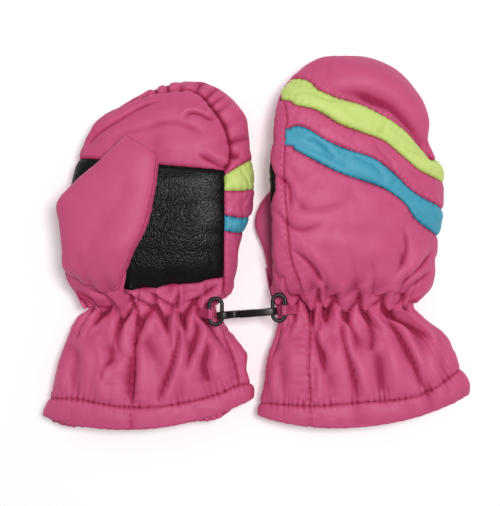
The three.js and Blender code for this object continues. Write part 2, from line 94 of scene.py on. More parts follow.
RIGHT_HAND = [
    [-45.6, -50, 12, 62, -39.5, 12, 12, 10],
    [-45.5, -44, 12.5, 61.8, -35.5, 12.5, 12.5, 9],
    [-43, -34.5, 13, 57.6, -26.4, 13, 13, 6],
    [-40.6, -19.5, 13, 54.2, -17.2, 13, 13, 3],
    [-37, -8.5, 11.5, 48.8, -7.5, 11.5, 11.5, 1],
    [-34.4, -0.5, 10.7, 35, 2, 10.1, 9.5, 0],
    [-37.2, 8, 14.5, 39, 10.1, 11, 10.5, 0],
    [-38.6, 19, 24.5, 45, 19.2, 11, 12.5, 0],
    [-38.9, 37, 31, 46.6, 38, 10.5, 13.5, 0],
    [-39.4, 55, 32, 49, 56, 10.5, 14, 0],
    [-39.8, 70, 32, 48.6, 74, 10.5, 14, 0],
    [-38.2, 88, 31, 42.2, 88, 11, 14, 0],
    [-36.2, 106, 28, 37, 104, 11, 13.5, 0],
    [-29.5, 119.5, 24, 26.2, 119.5, 11, 11.5, 0],
    [-17.5, 128, 21, 11.5, 128, 13, 7.5, 0],
    [-2.5, 131.2, 17.5, -2.5, 131.2, 17.5, 0, 0],
]
LEFT_THUMB = [
    [-20, 8, 28, -20, 8, 28, 0, 0],
    [-31.5, 13.2, 28.5, -14.2, 10.6, 30.5, 3.2, 0],
    [-40.6, 20, 30.5, -10.6, 17, 34.5, 6.4, 0],
    [-41.6, 30, 33, -5.5, 28.5, 39.5, 8, 0],
    [-43, 42.5, 33, 0.6, 41, 41, 8, 0],
    [-43.6, 52.5, 33.5, 4.2, 54, 41.5, 8, 0],
    [-36.5, 61, 35, 6.2, 66.5, 41, 7.8, 0],
    [-23, 73.6, 37.5, 6, 75.9, 40.5, 7, 0],
    [-15, 81.2, 38.5, -1.5, 81.2, 40, 4.5, 0],
    [-8.8, 87, 39, -8.8, 87, 39, 0, 0],
]
RIGHT_THUMB = [
    [-27, 6, 3.2, -27, 6, 3.2, 0, 0],
    [-35.5, 11, 4, -17, 10.5, 3.6, 3.4, 0],
    [-40.5, 22, 5.4, -11.5, 19.5, 4.6, 4.6, 0],
    [-43.2, 34, 5.9, -9, 32, 4.9, 5.4, 0],
    [-47.2, 46, 5.9, -7.5, 45, 4.9, 5.4, 0],
    [-44.4, 57, 5.9, -7.5, 57, 4.9, 5.4, 0],
    [-37, 66, 5.6, -9.5, 67, 4.6, 5.1, 0],
    [-29.5, 75, 5, -15, 75.5, 4.6, 4.2, 0],
    [-22, 79.5, 4.6, -22, 79.5, 4.6, 0, 0],
]
# Seams, as [x, y] points seen from above.
RIGHT_SEAMS = {
    "yellow_top": [[-70, 121], [-34, 119.5], [-21.5, 117], [-15.5, 111.8], [-6, 107.8], [5.5, 104.8],
                   [15.5, 100], [27, 93.5], [37.5, 86.5], [45.5, 80.7], [60, 72], [80, 60]],
    "yellow_bottom": [[-70, 110], [-34, 107.3], [-27.5, 104.2], [-16.5, 101.3], [-5.5, 94.8], [5.5, 90.8],
                      [17, 87], [27, 79.7], [36, 72.6], [47, 68], [60, 62], [80, 52]],
    "blue_top": [[-70, 92], [-34, 92], [-29, 93.2], [-22.5, 92.6], [-12, 86.2], [-0.5, 81.6], [12, 77.7],
                 [22, 71], [32.5, 61.5], [46, 54.8], [60, 47], [80, 36]],
    "blue_bottom": [[-70, 86], [-32.5, 84], [-27.5, 81.5], [-18, 76.5], [-5.5, 70.5], [5.5, 67], [17, 63],
                    [27, 56.3], [33.5, 48], [44.5, 41], [60, 34], [80, 28]],
    "patch_top": [[-70, 80], [80, 80]],
    "patch_bottom": [[-70, 14], [80, 13]],
    "hem": [[-70, -43], [-43, -44.1], [-30.5, -44.6], [-19.5, -45], [-6, -44.2], [10, -42.8], [25, -41.6],
            [37.5, -38.8], [47.5, -33.2], [56.5, -27.3], [66, -22], [80, -16]],
}
LEFT_SEAMS = {
    "yellow_top": [[x, y - 6.5] for x, y in RIGHT_SEAMS["yellow_top"][:9]] + [[52, 75], [67, 66], [80, 58]],
    "yellow_bottom": [[x, y - 6] for x, y in RIGHT_SEAMS["yellow_bottom"][:9]]
    + [[52, 60], [67, 59], [80, 57]],
    "blue_top": [[x, y - 6] for x, y in RIGHT_SEAMS["blue_top"][:9]] + [[52, 46], [67, 47], [80, 47]],
    "blue_bottom": [[x, y - 3] for x, y in RIGHT_SEAMS["blue_bottom"][:9]] + [[52, 38], [67, 39], [80, 38]],
    "patch_top": [[-70, 78], [-36, 76], [-27, 75.2], [6, 72], [38, 69.4], [80, 66]],
    "patch_bottom": [[-70, 9], [-12.5, 10], [6, 11.2], [23, 12.5], [35, 15], [80, 19]],
    "hem": [[-70, -43], [-52, -44.5], [-38, -44.6], [-26.5, -46.4], [-14, -48.4], [0, -48.7], [12, -47.4],
            [24, -45.2], [36, -42], [44, -38.4], [53, -36.8], [80, -35]],
}
PALM_EDGE = {
    "left": [[50.5, -75], [46.4, -38.8], [42.5, -22], [37.5, -11], [30, -1], [35, 5.5], [38, 12],
             [38.3, 35], [38.3, 67], [40.8, 73], [41.8, 79], [40.2, 87], [37, 94.5], [32.5, 101],
             [27, 108], [20, 111.2], [9.5, 110.6], [-1, 108.4], [-12.6, 103.8], [-24, 95.6], [-36, 83.5],
             [-60, 78]],
    "right": [[55, -75], [52, -38], [48, -20], [42, -9], [30, 1], [36, 8], [38, 14], [38, 40],
              [38, 74], [39, 82], [37, 92], [32, 106], [24, 116], [12, 123.5], [-2, 125.5],
              [-16, 122], [-26, 114], [-32, 102], [-38, 90]],
}
SIDE_SEAM = [[-19.5, -80], [-19.5, -40], [-20.3, -25], [-19.6, -8], [-20, 3], [-22.5, 10], [-25.5, 17.5],
             [-29.7, 29], [-31.6, 45], [-32.9, 62], [-33.4, 72], [-32.9, 84], [-32.9, 91], [-31.7, 97.5],
             [-33.7, 108], [-35, 118]]
PALM_CENTRE_SEAM = [[-9, -75], [-8, -47], [-7, -30], [-6.2, -10], [-4, 16]]

FINGERTIP_CREASE = [[-12, 113], [3, 110.5], [12.7, 107.4], [21.3, 103.8], [28.8, 98], [35, 92],
                    [39.5, 87.3], [45, 81]]

# The folds of the wrist's gathers. Each is [where its tip is across the mitten, from -1 at the
# thumb's edge to 1, how far the tip hangs down, depth, length, lean to the thumb's edge, bend].
LEFT_FOLDS = [
    [-0.95, 3.5, 3, 12, 0.00, 0], [-0.73, 5.2, 3.4, 10, 0.15, 1], [-0.39, 8, 3.6, 12, 0.05, 1.5],
    [-0.13, 8.4, 4.2, 16, 0.06, 0.6], [0.22, 8, 4, 11, 0.00, -1.2], [0.48, 7, 5.2, 18, 0.05, 1.4],
    [0.77, 5.6, 4.8, 17, -0.10, -1], [0.95, 3.5, 3, 10, 0, 0],
]
RIGHT_FOLDS = [
    [-0.96, 3.5, 3, 12, 0.00, 0], [-0.80, 5, 3.2, 10, 0.10, 1.2], [-0.55, 7, 3.6, 10, 0.05, -1],
    [-0.33, 6.4, 4.6, 16, 0.14, 1.6], [-0.06, 7.6, 5.4, 20, 0.02, 0.8], [0.24, 6.6, 4.2, 11, 0.10, -1.4],
    [0.59, 6.4, 4.8, 18, -0.25, -1], [0.83, 5, 4, 13, -0.20, 0.8], [0.96, 3, 3, 10, 0, 0],
]
# Long creases on the side that faces up: [points, depth, half width]. A negative depth is a ridge.
LEFT_CREASES = [
    [[[-18, -23.5], [-23, -30], [-24, -36]], 1.7, 2.2],
    [[[16, -5], [14.8, -14], [13.2, -22], [10.6, -31], [4.4, -47]], 3, 1.7],
    [[[29.3, -14], [29.3, -20], [28, -28.5], [30.6, -36]], 2.2, 1.9],
    [[[-31.5, -3], [-36, -10], [-36.6, -15]], 2, 1.8],
    [[[-14, -7.5], [-15.5, -16], [-13, -25]], 1.5, 2.3],
    [[[23, -2.5], [24.3, -11], [20.6, -22.5], [19, -32]], 2.4, 1.8],
    [[[-7, -8], [-7.4, -30], [-8, -46]], 1.4, 1.6],
    [[[-35, 79], [-28, 91], [-15, 101]], -1, 3],
    [[[-31, 81], [-26.7, 87.4], [-14, 95], [-2.3, 101.8], [7, 104]], 1.7, 1.9],
    [[[-20, 84], [-7, 89], [9, 92]], 0.8, 3.6],
    [[[17, 94.5], [21, 97.5], [26, 97], [31, 95], [35, 97]], 1.7, 1],
    [[[25, 77], [33, 73], [40, 69.5]], 1.6, 1.8],
    [[[0.7, 92], [15, 92.5], [28, 87]], 1.1, 3],
    [[[5, 83], [20, 80], [36, 84]], -0.8, 5],
    [[[-14, 9], [-3, 3.5], [8, -3]], 2, 1.4],
    [[[1, 8.5], [7, 4.5], [13, 0.5]], 1.8, 1.3],
    [[[35, 12], [25, 5], [16.5, -3]], 2.2, 1.6],
    [[[-37, 30], [-33, 16], [-27, 4]], 1.6, 2.2],
]
RIGHT_CREASES = [
    [[[-39, 53], [-27, 43], [-14, 45]], 1.1, 2.8],
    [[[-28.5, 33], [-19.5, 25.5], [-11, 12]], 1.7, 2.2],
    [[[24, 14], [35, 24], [43, 33]], 1.8, 2.2],
    [[[25, 9], [35, 17], [42, 22.5]], 1.8, 1.8],
    [[[26, 46], [28, 33], [22, 18]], 1.2, 2.6],
    [[[-3, 80], [5, 77], [13, 72.5], [18, 65]], 1, 1.4],
    [[[-24, 88], [-16, 85], [-8, 77]], 0.9, 1.3],
    [[[-2, 3], [-3.3, -8], [0.4, -23], [5.4, -41]], 3.2, 1.7],
    [[[-12, 2], [-16.5, -9], [-13.3, -20.5], [-12.5, -30]], 2.6, 1.8],
    [[[16.6, 4], [25.3, -9], [32.2, -23], [36.5, -36]], 2.8, 1.7],
    [[[-17, -22], [-17.5, -41]], 1.2, 1.7],
    [[[20.3, 0.6], [30, -4], [38, -8], [43, -14]], 1.9, 1.8],
    [[[8, 1], [12, -8], [11, -17]], 1.6, 2],
    [[[-34, -3], [-37, -12], [-39, -22]], 1.5, 1.8],
    [[[-10, 40], [5, 33], [20, 38]], -0.9, 6],
    [[[-30, 60], [-20, 52], [0, 56]], 0.8, 3.5],
    [[[-38, 70], [-31, 64], [-30, 52]], 1.2, 1.6],
]
# The fabric from the thumb down to the wrist: its two edges, how far it bulges (downwards where
# negative), and how far its end hangs down at each x.
GUSSETS = {
    "left": {
        "left": [[-39.6, 26, 32], [-40.2, 17, 28], [-36.6, 8, 18.5], [-32.4, 0, 12]],
        "right": [[-9.5, 26, 34], [-10.5, 17, 30], [-12, 9, 25.5], [-8, 1.5, 18.5]],
        "bulge": [0.2, 0.8, 1.8, 2.2],
        "flaps": [[-33, 0], [-29, 1.5], [-24, -2.6], [-18.5, 1.5], [-12.6, -6], [-8, 0]],
    },
    "right": {
        "left": [[-41, 24, 5.5], [-40, 17, 6], [-38.5, 10, 8], [-35.2, 2, 10]],
        "right": [[-11, 22, 4.8], [-12, 15, 4.4], [-13, 9, 4.2], [-14, 3, 4]],
        "bulge": [-4.2, -3.4, -2.4, -1.6],
        "flaps": [],
    },
}
SIDES = {
    "left": {
        "hand": LEFT_HAND, "thumb": LEFT_THUMB, "seams": LEFT_SEAMS, "palm_up": True, "seed": 11,
        "folds": LEFT_FOLDS, "under_folds": [-0.85, -0.55, -0.2, 0.1, 0.42, 0.8],
        "creases": LEFT_CREASES, "edge_x": 52, "gathers_top": 3.6,
    },
    "right": {
        "hand": RIGHT_HAND, "thumb": RIGHT_THUMB, "seams": RIGHT_SEAMS, "palm_up": False, "seed": 23,
        "folds": RIGHT_FOLDS, "under_folds": [-0.8, -0.5, -0.15, 0.2, 0.5, 0.85],
        "creases": RIGHT_CREASES, "edge_x": 47, "gathers_top": 8.2,
    },
}


def joint_point(name):
    """Where a joint of the CAD turns."""
    return [c / MM for c in next(j for j in frame["joints"] if j["name"] == name)["pos_m"]]


# Each mitten's own frame stands at its wrist, which the CAD gives.
for side, data in SIDES.items():
    x, y, _ = joint_point(f"{side}_wrist_bend")
    data["origin"] = np.array([x, y, 0.0])


# ---- smooth helpers ----
def catmull(points, t):
    """Points of a Catmull-Rom curve through the rows of points, at t from 0 to 1."""
    points = np.asarray(points, float)
    t = np.clip(np.asarray(t, float), 0, 1)
    last = len(points) - 1
    place = t * last
    i = np.minimum(place.astype(int), last - 1)
    w = (place - i)[..., None]
    padded = np.vstack([2 * points[0] - points[1], points, 2 * points[-1] - points[-2]])
    p0, p1, p2, p3 = padded[i], padded[i + 1], padded[i + 2], padded[i + 3]
    v0, v1 = (p2 - p0) / 2, (p3 - p1) / 2
    return ((2 * p1 - 2 * p2 + v0 + v1) * w ** 3 + (-3 * p1 + 3 * p2 - 2 * v0 - v1) * w ** 2
            + v0 * w + p1)


def smooth_line(points, per_side=7):
    """A polyline rounded by a Catmull-Rom curve."""
    count = (len(points) - 1) * per_side + 1
    return catmull(points, np.linspace(0, 1, count))


def line_field(line, x, y):
    """Signed distance to a polyline, positive on its left, and the length along it of the nearest point."""
    shape = x.shape
    px, py = x.ravel(), y.ravel()
    best = np.full(px.shape, 1e9)
    sign = np.ones(px.shape)
    along = np.zeros(px.shape)
    start = 0.0
    for a, b in zip(line[:-1], line[1:]):
        d = b - a
        length = math.hypot(*d)
        t = np.clip(((px - a[0]) * d[0] + (py - a[1]) * d[1]) / length ** 2, 0, 1)
        distance = np.hypot(px - a[0] - t * d[0], py - a[1] - t * d[1])
        side = d[0] * (py - a[1]) - d[1] * (px - a[0])
        nearer = distance < best - 1e-9
        best = np.where(nearer, distance, best)
        sign = np.where(nearer, np.where(side >= 0, 1, -1), sign)
        along = np.where(nearer, start + t * length, along)
        start += length
    return (best * sign).reshape(shape), along.reshape(shape)


def noise(points, size, seed):
    """Smooth noise from -1 to 1 over points in space, with bumps about size across."""
    p = np.asarray(points) / size
    cell = np.floor(p).astype(np.int64)
    f = p - cell
    f = f * f * (3 - 2 * f)
    total = 0
    for corner in itertools.product((0, 1), repeat=3):
        h = seed * 2654435
        for axis, prime in enumerate((73856093, 19349663, 83492791)):
            h = h ^ (cell[..., axis] + corner[axis]) * prime
        h = (h * 1103515245 + 12345) & 0x7FFFFFFF
        h = (h ^ (h >> 13)) * 60493 & 0x7FFFFFFF
        weight = np.prod([f[..., axis] if corner[axis] else 1 - f[..., axis] for axis in range(3)], 0)
        total = total + (h / 0x3FFFFFFF - 1) * weight
    return total


def wave(s, length, seed):
    """Uneven waves along s, from -1 to 1, about length apart."""
    jitter = noise(np.stack([s, s * 0, s * 0], -1), length * 2.3, seed)
    return np.cos(2 * math.pi * (s / length + 0.35 * jitter))


def bump(x, width):
    return np.exp(-(x / width) ** 2)


# ---- the mitten's surface ----
def round_grid(low, high, rows, columns):
    """Places along and angles round, for a grid that runs round."""
    turns = np.arange(columns) * 2 * math.pi / columns
    return np.broadcast_arrays(np.linspace(low, high, rows)[:, None], turns[None, :])


def section(stations, v, depth, dome):
    """Centre, half width, half thickness and bow of the section at v, this far below the surface."""
    rows = catmull(stations, v)
    left, right = rows[..., 0:3], rows[..., 3:6]
    centre = (left + right) / 2
    half = (right - left) / 2
    length = np.linalg.norm(half, axis=-1, keepdims=True)
    half = half * (1 - depth / np.maximum(length, dome[0]))
    thick = np.maximum(rows[..., 6], 0)
    thick = thick * (1 - depth / np.maximum(thick, dome[1]))
    return centre, half, thick, rows[..., 7]


def surface(stations, v, angle, depth=0.0, power=ROUNDNESS, dome=(38, 13)):
    """Points of the surface at v and angle, in the mitten's own frame."""
    centre, half, thick, bow = section(stations, v, depth, dome)
    cos, sin = np.cos(angle), np.sin(angle)
    across = np.sign(cos) * np.abs(cos) ** (2 / power)
    up = np.sign(sin) * np.abs(sin) ** (2 / power)
    normal = np.stack([-half[..., 2], half[..., 0] * 0, half[..., 0]], -1)
    normal = normal / np.maximum(np.linalg.norm(normal, axis=-1, keepdims=True), 1e-6)
    points = centre + half * across[..., None] + normal * (thick * up)[..., None]
    points[..., 1] -= bow * (1 - across ** 2)
    return points


def grid_normals(points):
    """Unit normals of a grid whose columns run round and whose rows run along."""
    round_ = np.roll(points, -1, 1) - np.roll(points, 1, 1)
    along = np.gradient(points, axis=0)
    n = np.cross(along, round_)
    return n / np.maximum(np.linalg.norm(n, axis=-1, keepdims=True), 1e-9)


def arc_lengths(points):
    """Length round each row, from column 0 to each column, and the whole way round."""
    steps = np.linalg.norm(np.roll(points, -1, 1) - points, axis=-1)
    total = steps.sum(1, keepdims=True)
    s = np.cumsum(steps, 1) - steps
    return s, total


def shifted(grid, reach, axis):
    """The grid moved by up to reach rows (axis 0), or by up to reach columns round it (axis 1)."""
    steps = range(-reach, reach + 1)
    if axis == 1:
        return [np.roll(grid, step, 1) for step in steps]
    rows = np.arange(len(grid))
    return [grid[np.clip(rows + step, 0, len(grid) - 1)] for step in steps]


def fold_shade(height):
    """How far each point lies below (positive) or above (negative) the fabric round it: the material paints
    shade into the hollows and a highlight onto the ridges by this.
    """
    around = height
    for reach in FOLD_REACHES:
        for axis in (1, 0):
            around = sum(shifted(around, reach, axis)) / (2 * reach + 1)
    return np.clip((around - height) / FULL_SHADE, -1, 1)


def widened(depth, reach):
    """The deepest value near each point of a grid that runs round, softened."""
    for axis in (1, 0):
        depth = np.maximum.reduce(shifted(depth, reach, axis))
    return sum(shifted(depth, reach, 1)) / (2 * reach + 1)


def angle_at(u, top):
    """The angle of the section where its across coordinate is u."""
    a = math.acos(max(-1.0, min(1.0, math.copysign(abs(u) ** (ROUNDNESS / 2), u))))
    return a if top else 2 * math.pi - a


# ---- folds, seams and puckers, as heights over the plain surface ----
# For each kind of seam: pucker height, pucker length, reach of the puckers outside and inside the
# seam, and groove depth.
SEAM_STYLE = {
    "palm_edge": (0.3, 4.5, 3.4, 3.0, 0.55),
    "arch": (3.4, 6.6, 7.5, 2.6, 1.8),
    "flank": (0.2, 4.2, 3.0, 3.0, 0.5),
    "side": (0.3, 4.0, 3.0, 3.0, 0.5),
    "centre": (0.2, 4.4, 3.0, 3.0, 0.25),
    "stripe": (0.38, 3.7, 3.0, 2.6, 0.7),
    "patch": (0.25, 5.0, 3.0, 2.5, 0.6),
    "hem": (1.2, 2.7, 1.6, 4.6, 0.4),
}
SEAM_KINDS = {"yellow": "stripe", "blue": "stripe", "patch": "patch"}


def cusps(ripple):
    """Waves with round tops and sharp valleys, from plain waves, between -1 and 0.6."""
    return np.abs(np.cos(0.5 * np.arccos(np.clip(ripple, -1, 1)))) * 1.6 - 1


def seam_fields(data, x, y, angle, s):
    """Signed distance and length along every seam, and the panels that they bound."""
    lines = {name: smooth_line(points) for name, points in data["seams"].items()}
    on_palm_side = (angle < math.pi) == data["palm_up"]
    wrapped = np.where(on_palm_side & ((x > 0) | (y > 70)), 2 * data["edge_x"] - x, x)
    field = {name: line_field(line, wrapped if name.startswith(("yellow", "blue")) else x, y)
             for name, line in lines.items()}
    edge, edge_along = line_field(smooth_line(PALM_EDGE["left" if data["palm_up"] else "right"]), x, y)
    flank = s[:, N_AROUND // 2][:, None] - s
    if not data["palm_up"]:
        flank = -flank
    # on the right mitten the grip patch shows a little past the thumb's edge
    flank = np.where(on_palm_side, np.abs(flank), -np.abs(flank))
    if not data["palm_up"]:
        flank = flank - 3.0 + 6.6 * np.clip(1.5 - np.abs(y - 66) / 8, 0, 1)
    edge = np.where(on_palm_side, edge, -np.abs(edge))
    near_flank = np.abs(flank) < 6
    palm = np.minimum(np.where(near_flank & (x < 0), 6, edge), flank)
    side, side_along = line_field(smooth_line(SIDE_SEAM), x, y)
    centre, centre_along = line_field(smooth_line(PALM_CENTRE_SEAM), x, y)
    yt, yb, bt, bb, pt, pb, hem = (field[n][0] for n in (
        "yellow_top", "yellow_bottom", "blue_top", "blue_bottom", "patch_top", "patch_bottom", "hem"))
    strip = np.minimum(np.minimum(side, -flank), -yb)
    rest = np.minimum(-palm, -strip)

    def both(*parts):
        return np.minimum.reduce(parts)

    panels = {
        "fingertip_panel": both(rest, yt),
        "yellow_stripe": both(rest, -yt, yb),
        "middle_panel": both(rest, -yb, bt),
        "blue_stripe": both(rest, -bt, bb),
        "back_panel": both(rest, -bb, hem),
        "side_panel": both(strip, hem),
        "palm_tip_panel": both(palm, pt),
        "palm_patch": both(palm, -pt, pb),
        "palm_thumb_side": both(palm, -pb, hem, centre),
        "palm_finger_side": both(palm, -pb, hem, -centre),
        "hem_band": -hem,
    }
    seams = {"palm_edge": (edge, edge_along), "flank": (palm, y), "side": (side, side_along),
             "centre": (centre, centre_along), **field}
    return panels, seams


def seam_heights(data, panels, seams, y, points, angle):
    """Grooves and puckers along the seams, and panels that swell between them."""
    distance = np.maximum(np.max(np.stack(list(panels.values())), 0), 0)
    names = list(seams)
    gaps = np.stack([np.abs(np.abs(seams[n][0]) - distance) for n in names])
    nearest = np.argmin(gaps, 0)
    height = 0.7 * (1 - np.exp(-distance / 7))
    for i, name in enumerate(names):
        here = nearest == i
        signed, along = seams[name]
        kind = SEAM_KINDS.get(name.split("_")[0], name)
        styles = [(kind, 1.0)]
        if name == "palm_edge":
            tip = np.clip((y - 62) / 12, 0, 1) * np.clip((points[..., 0] + 25) / 40, 0, 1)
            styles = [("palm_edge", 1 - tip), ("arch", tip)]
        for style, share in styles:
            size, length, reach_out, reach_in, depth = SEAM_STYLE[style]
            cusp = cusps(wave(along, length, data["seed"] + 7 * i))
            reach = np.where(signed < 0, reach_out, reach_in)
            uneven = 0.75 + 0.5 * noise(points, 14, data["seed"] + 31 + i)
            if style == "arch":
                cusp = np.minimum(cusp - 0.35, 0) * np.where(signed < 0, 1, 0.3)
            pucker = size * uneven * cusp * np.exp(-distance / reach)
            if style == "hem":
                pucker = pucker * np.clip(2.2 * np.abs(np.sin(angle)) - 0.6, 0.1, 1)
            groove = depth * bump(distance, 0.85) + 0.45 * depth * np.exp(-distance / 2.6)
            height = height + np.where(here, share * (pucker - groove), 0)
    return height, distance


# The ranges of a hidden fold's drop, depth, length, lean and bend.
UNDER_FOLD = [(4.5, 7), (3.2, 4.4), (10, 20), (-0.16, 0.16), (-2, 2)]


def gather_heights(data, s, total, y):
    """The wrist's gathers: the hand's fabric ends in a zigzag of flaps over the folds of the cuff."""
    seed = data["seed"]
    rng = np.random.default_rng(seed)
    folds = [[angle_at(u, True), *fold] for u, *fold in data["folds"]]
    folds += [[angle_at(u, False), *(rng.uniform(*span) for span in UNDER_FOLD)]
              for u in data["under_folds"]]
    folds.sort()
    columns = np.arange(N_AROUND + 1) * 2 * math.pi / N_AROUND
    rows = np.concatenate([s, total], 1)

    def gap_from(turn):
        place = np.stack([np.interp(turn % (2 * math.pi), columns, row) for row in rows])[:, None]
        return (s - place + total / 2) % total - total / 2

    # the zigzag runs through the folds' tips and the peaks between them
    tips = [fold[0] for fold in folds]
    peaks = [(a + b) / 2 for a, b in zip(tips, tips[1:] + [tips[0] + 2 * math.pi])]
    turns = np.array([turn for pair in zip(tips, peaks) for turn in pair]) % (2 * math.pi)
    levels = [data["gathers_top"] - drop for fold in folds for drop in (fold[1], 0)]
    zigzag = np.stack([np.interp(row, np.interp(turns, columns, whole), levels, period=whole[-1])
                       for row, whole in zip(s, rows)])
    rel = y - zigzag - 0.5 * wave(s, 11.0, seed + 5)
    down = np.maximum(-rel, 0)
    up = np.maximum(rel, 0)
    flap = 1 / (1 + np.exp(-rel / 0.4))
    # the flaps' rim stands proud, the cuff is drawn in under it, and both swell a little way off
    height = 1.1 * flap * np.exp(-up / 2.5) - (1 - flap) * (2.6 * np.exp(-down / 1.8) + 0.4)
    height = height + 1.3 * bump(rel - 5.5, 4.5) + 1.6 * bump(rel + 6.5, 5.0) - 1.2 * bump(rel, 4.0)
    for turn, _, deep, length, lean, bend in folds:
        gap = gap_from(turn)
        bent = gap - lean * down - bend * np.sin(down / 13.0)
        # down the cuff, a fold with one steep side and a swelling beside it
        width = 1.0 + 0.13 * down
        fade = np.exp(-down / length) * (1 - flap)
        steep = np.where(bent * (bend + 1e-6) > 0, 0.75, 1.5)
        height = height - 1.25 * deep * fade * np.exp(-np.abs(bent) / (width * steep))
        beside_it = bent - np.sign(bend + 1e-6) * (width * 1.9)
        height = height + 0.6 * deep * fade * bump(beside_it, width * 1.3)
        # up the hand, a ridge from the flap's tip
        ridge = gap - rng.uniform(0.45, 0.95) * up
        height = height + 1.5 * flap * np.exp(-up / 8) * np.exp(-np.abs(ridge) / 1.7)
    for turn in peaks:
        # between two flaps, a valley up the hand
        valley = gap_from(turn + rng.uniform(-0.04, 0.04)) - rng.uniform(0.3, 1.0) * up
        deep, length = rng.uniform(2.4, 3.8), rng.uniform(7, 13)
        width = 0.9 + 0.13 * up
        height = height - 1.2 * deep * flap * np.exp(-up / length) * np.exp(-np.abs(valley) / width)
    # broad waves over the middle of the cuff
    edge = np.clip(1.6 * np.abs(np.sin(columns[:-1])), 0.3, 1)[None, :]
    soft = np.clip((-y - 6) / 14, 0, 1) * np.clip((y + 50) / 16, 0, 1) * edge
    height = height + 0.9 * soft * wave(s - 0.12 * y, 21.0, seed + 9)
    return height + 0.5 * soft * wave(s + 0.2 * y, 12.0, seed + 10)


def crease_heights(creases, x, y):
    """The long creases, each a steep valley with a swelling beside it, or else a soft ridge."""
    height = 0
    for points, depth, width in creases:
        line = smooth_line(points)
        length = np.linalg.norm(np.diff(line, axis=0), axis=1).sum()
        across, along = line_field(line, x, y)
        ends = np.clip(np.minimum(along, length - along) / (0.25 * length), 0, 1) ** 0.7
        if depth > 0:
            steep = np.where(across > 0, 0.8, 1.5)
            valley = 0.6 * np.exp(-np.abs(across) / (width * steep)) + 0.45 * bump(across, 0.42 * width)
            beside_it = 0.6 * bump(across - 2.0 * width, 1.4 * width)
            height = height + depth * ends * (beside_it - CREASE_GAIN * valley)
        else:
            height = height - CREASE_GAIN * depth * ends * bump(across, width)
    return height


def extra_heights(data, panels, x, y, points, on_top):
    """Soft dents, and the wrinkles that belong to one mitten or panel."""
    seed = data["seed"]
    z = points[..., 2]
    height = 0.9 * noise(points, 27, seed) + 0.35 * noise(points, 11, seed + 1)
    height = height * np.clip((y + 52) / 10, 0.2, 1)
    # wrinkles along the stripes, and finer ones across the hand
    stripes = np.maximum.reduce([panels[n] for n in ("yellow_stripe", "blue_stripe", "middle_panel")])
    slanted = np.stack([x * 0.45 + y * 0.9, (x * 0.9 - y * 0.45) * 0.4, z], -1)
    wrinkle = noise(slanted, 8.5, seed + 2)
    height = height + np.clip(stripes / 3, 0, 1) * (0.9 * wrinkle - 0.5 * bump(wrinkle, 0.13))
    flattened = np.stack([x * 0.5, y * 1.4, z], -1)
    height = height + 0.35 * noise(flattened, 7.5, seed + 3) * np.clip((y - 10) / 30, 0, 1)
    if not data["palm_up"]:
        crease, along = line_field(smooth_line(FINGERTIP_CREASE), x, y)
        whole = np.clip(along / 22, 0, 1) * np.clip((y - 60) / 20, 0, 1) * on_top
        height = height - 4.2 * whole * bump(crease, 3.4) + 2.4 * whole * bump(crease - 11, 8)
    # the seam that crosses the hem, and the hem's roll
    crossing_seam = line_field(smooth_line(PALM_CENTRE_SEAM if data["palm_up"] else SIDE_SEAM), x, y)[0]
    height = height - 0.7 * bump(crossing_seam, 0.6) * on_top * (panels["hem_band"] > 0)
    roll = np.clip(panels["hem_band"], 0, 11) / 11
    height = height + 0.8 * np.sin(math.pi * roll) ** 0.8
    return height + crease_heights(data["creases"], x, y) * on_top


def settle(points):
    """Fabric that would go below the surface lies flat on it."""
    z = points[..., 2]
    start = LOWEST + LANDING
    points[..., 2] = np.where(z < start, LOWEST + LANDING * np.exp((z - start) / LANDING), z)
    return points


def mitten_skin(side):
    """The outer surface of one mitten as a fine grid, with its panels and seams."""
    data = SIDES[side]
    v, angle = round_grid(0, 0.9985, N_ALONG, N_AROUND)
    plain = surface(data["hand"], v, angle)
    x, y = plain[..., 0], plain[..., 1]
    s, total = arc_lengths(plain)
    panels, seams = seam_fields(data, x, y, angle, s)
    normals = grid_normals(plain)
    on_top = np.clip(np.sin(angle) * 4, 0, 1)
    tip_fade = np.clip((1 - v) / TIP_FADE, 0, 1)
    height, distance = seam_heights(data, panels, seams, y, plain, angle)
    height = height + extra_heights(data, panels, x, y, plain, on_top)
    height = height * tip_fade + gather_heights(data, s, total, y) - SKIN_INSET
    points = plain + normals * height[..., None]
    relief = cloth_relief(side, points, normals, distance, y)
    # the patch is stiff and the thumb slides over it, so it never stands higher
    height = height + np.where(panels["palm_patch"] > 0, np.minimum(relief, 0), relief)
    points = plain + normals * height[..., None]
    # the seam distance and fold depth, by which the material paints shade along the seams and in the folds,
    # and a highlight on the ridges
    marks = np.stack([distance.ravel(), fold_shade(height).ravel()], 1)
    return {"plain": plain, "points": settle(points), "height": height, "panels": panels, "marks": marks,
            "normals": normals, "angle": angle, "v": v}


# ---- cloth simulation of the padded fabric ----
CLOTH_STEP = 3  # the cloth has every third row and column of the fine grid
CLOTH_SCALE = 10  # the solver works better on something metres long
CLOTH_FRAMES = 18
CLOTH_CAP = 0.9  # how far the simulation may move a point, in mm
CLOTH_EASE = 3.2  # the simulated movement, in mm, that nearly reaches that


CLOTH_SETTINGS = {
    "vertex_group_mass": "sewn", "quality": 6, "mass": 0.3, "air_damping": 2.0,
    "tension_stiffness": 12, "compression_stiffness": 12, "shear_stiffness": 4,
    "bending_stiffness": 0.08, "shrink_min": -0.05, "use_pressure": True,
    "uniform_pressure_force": 1.2,
}


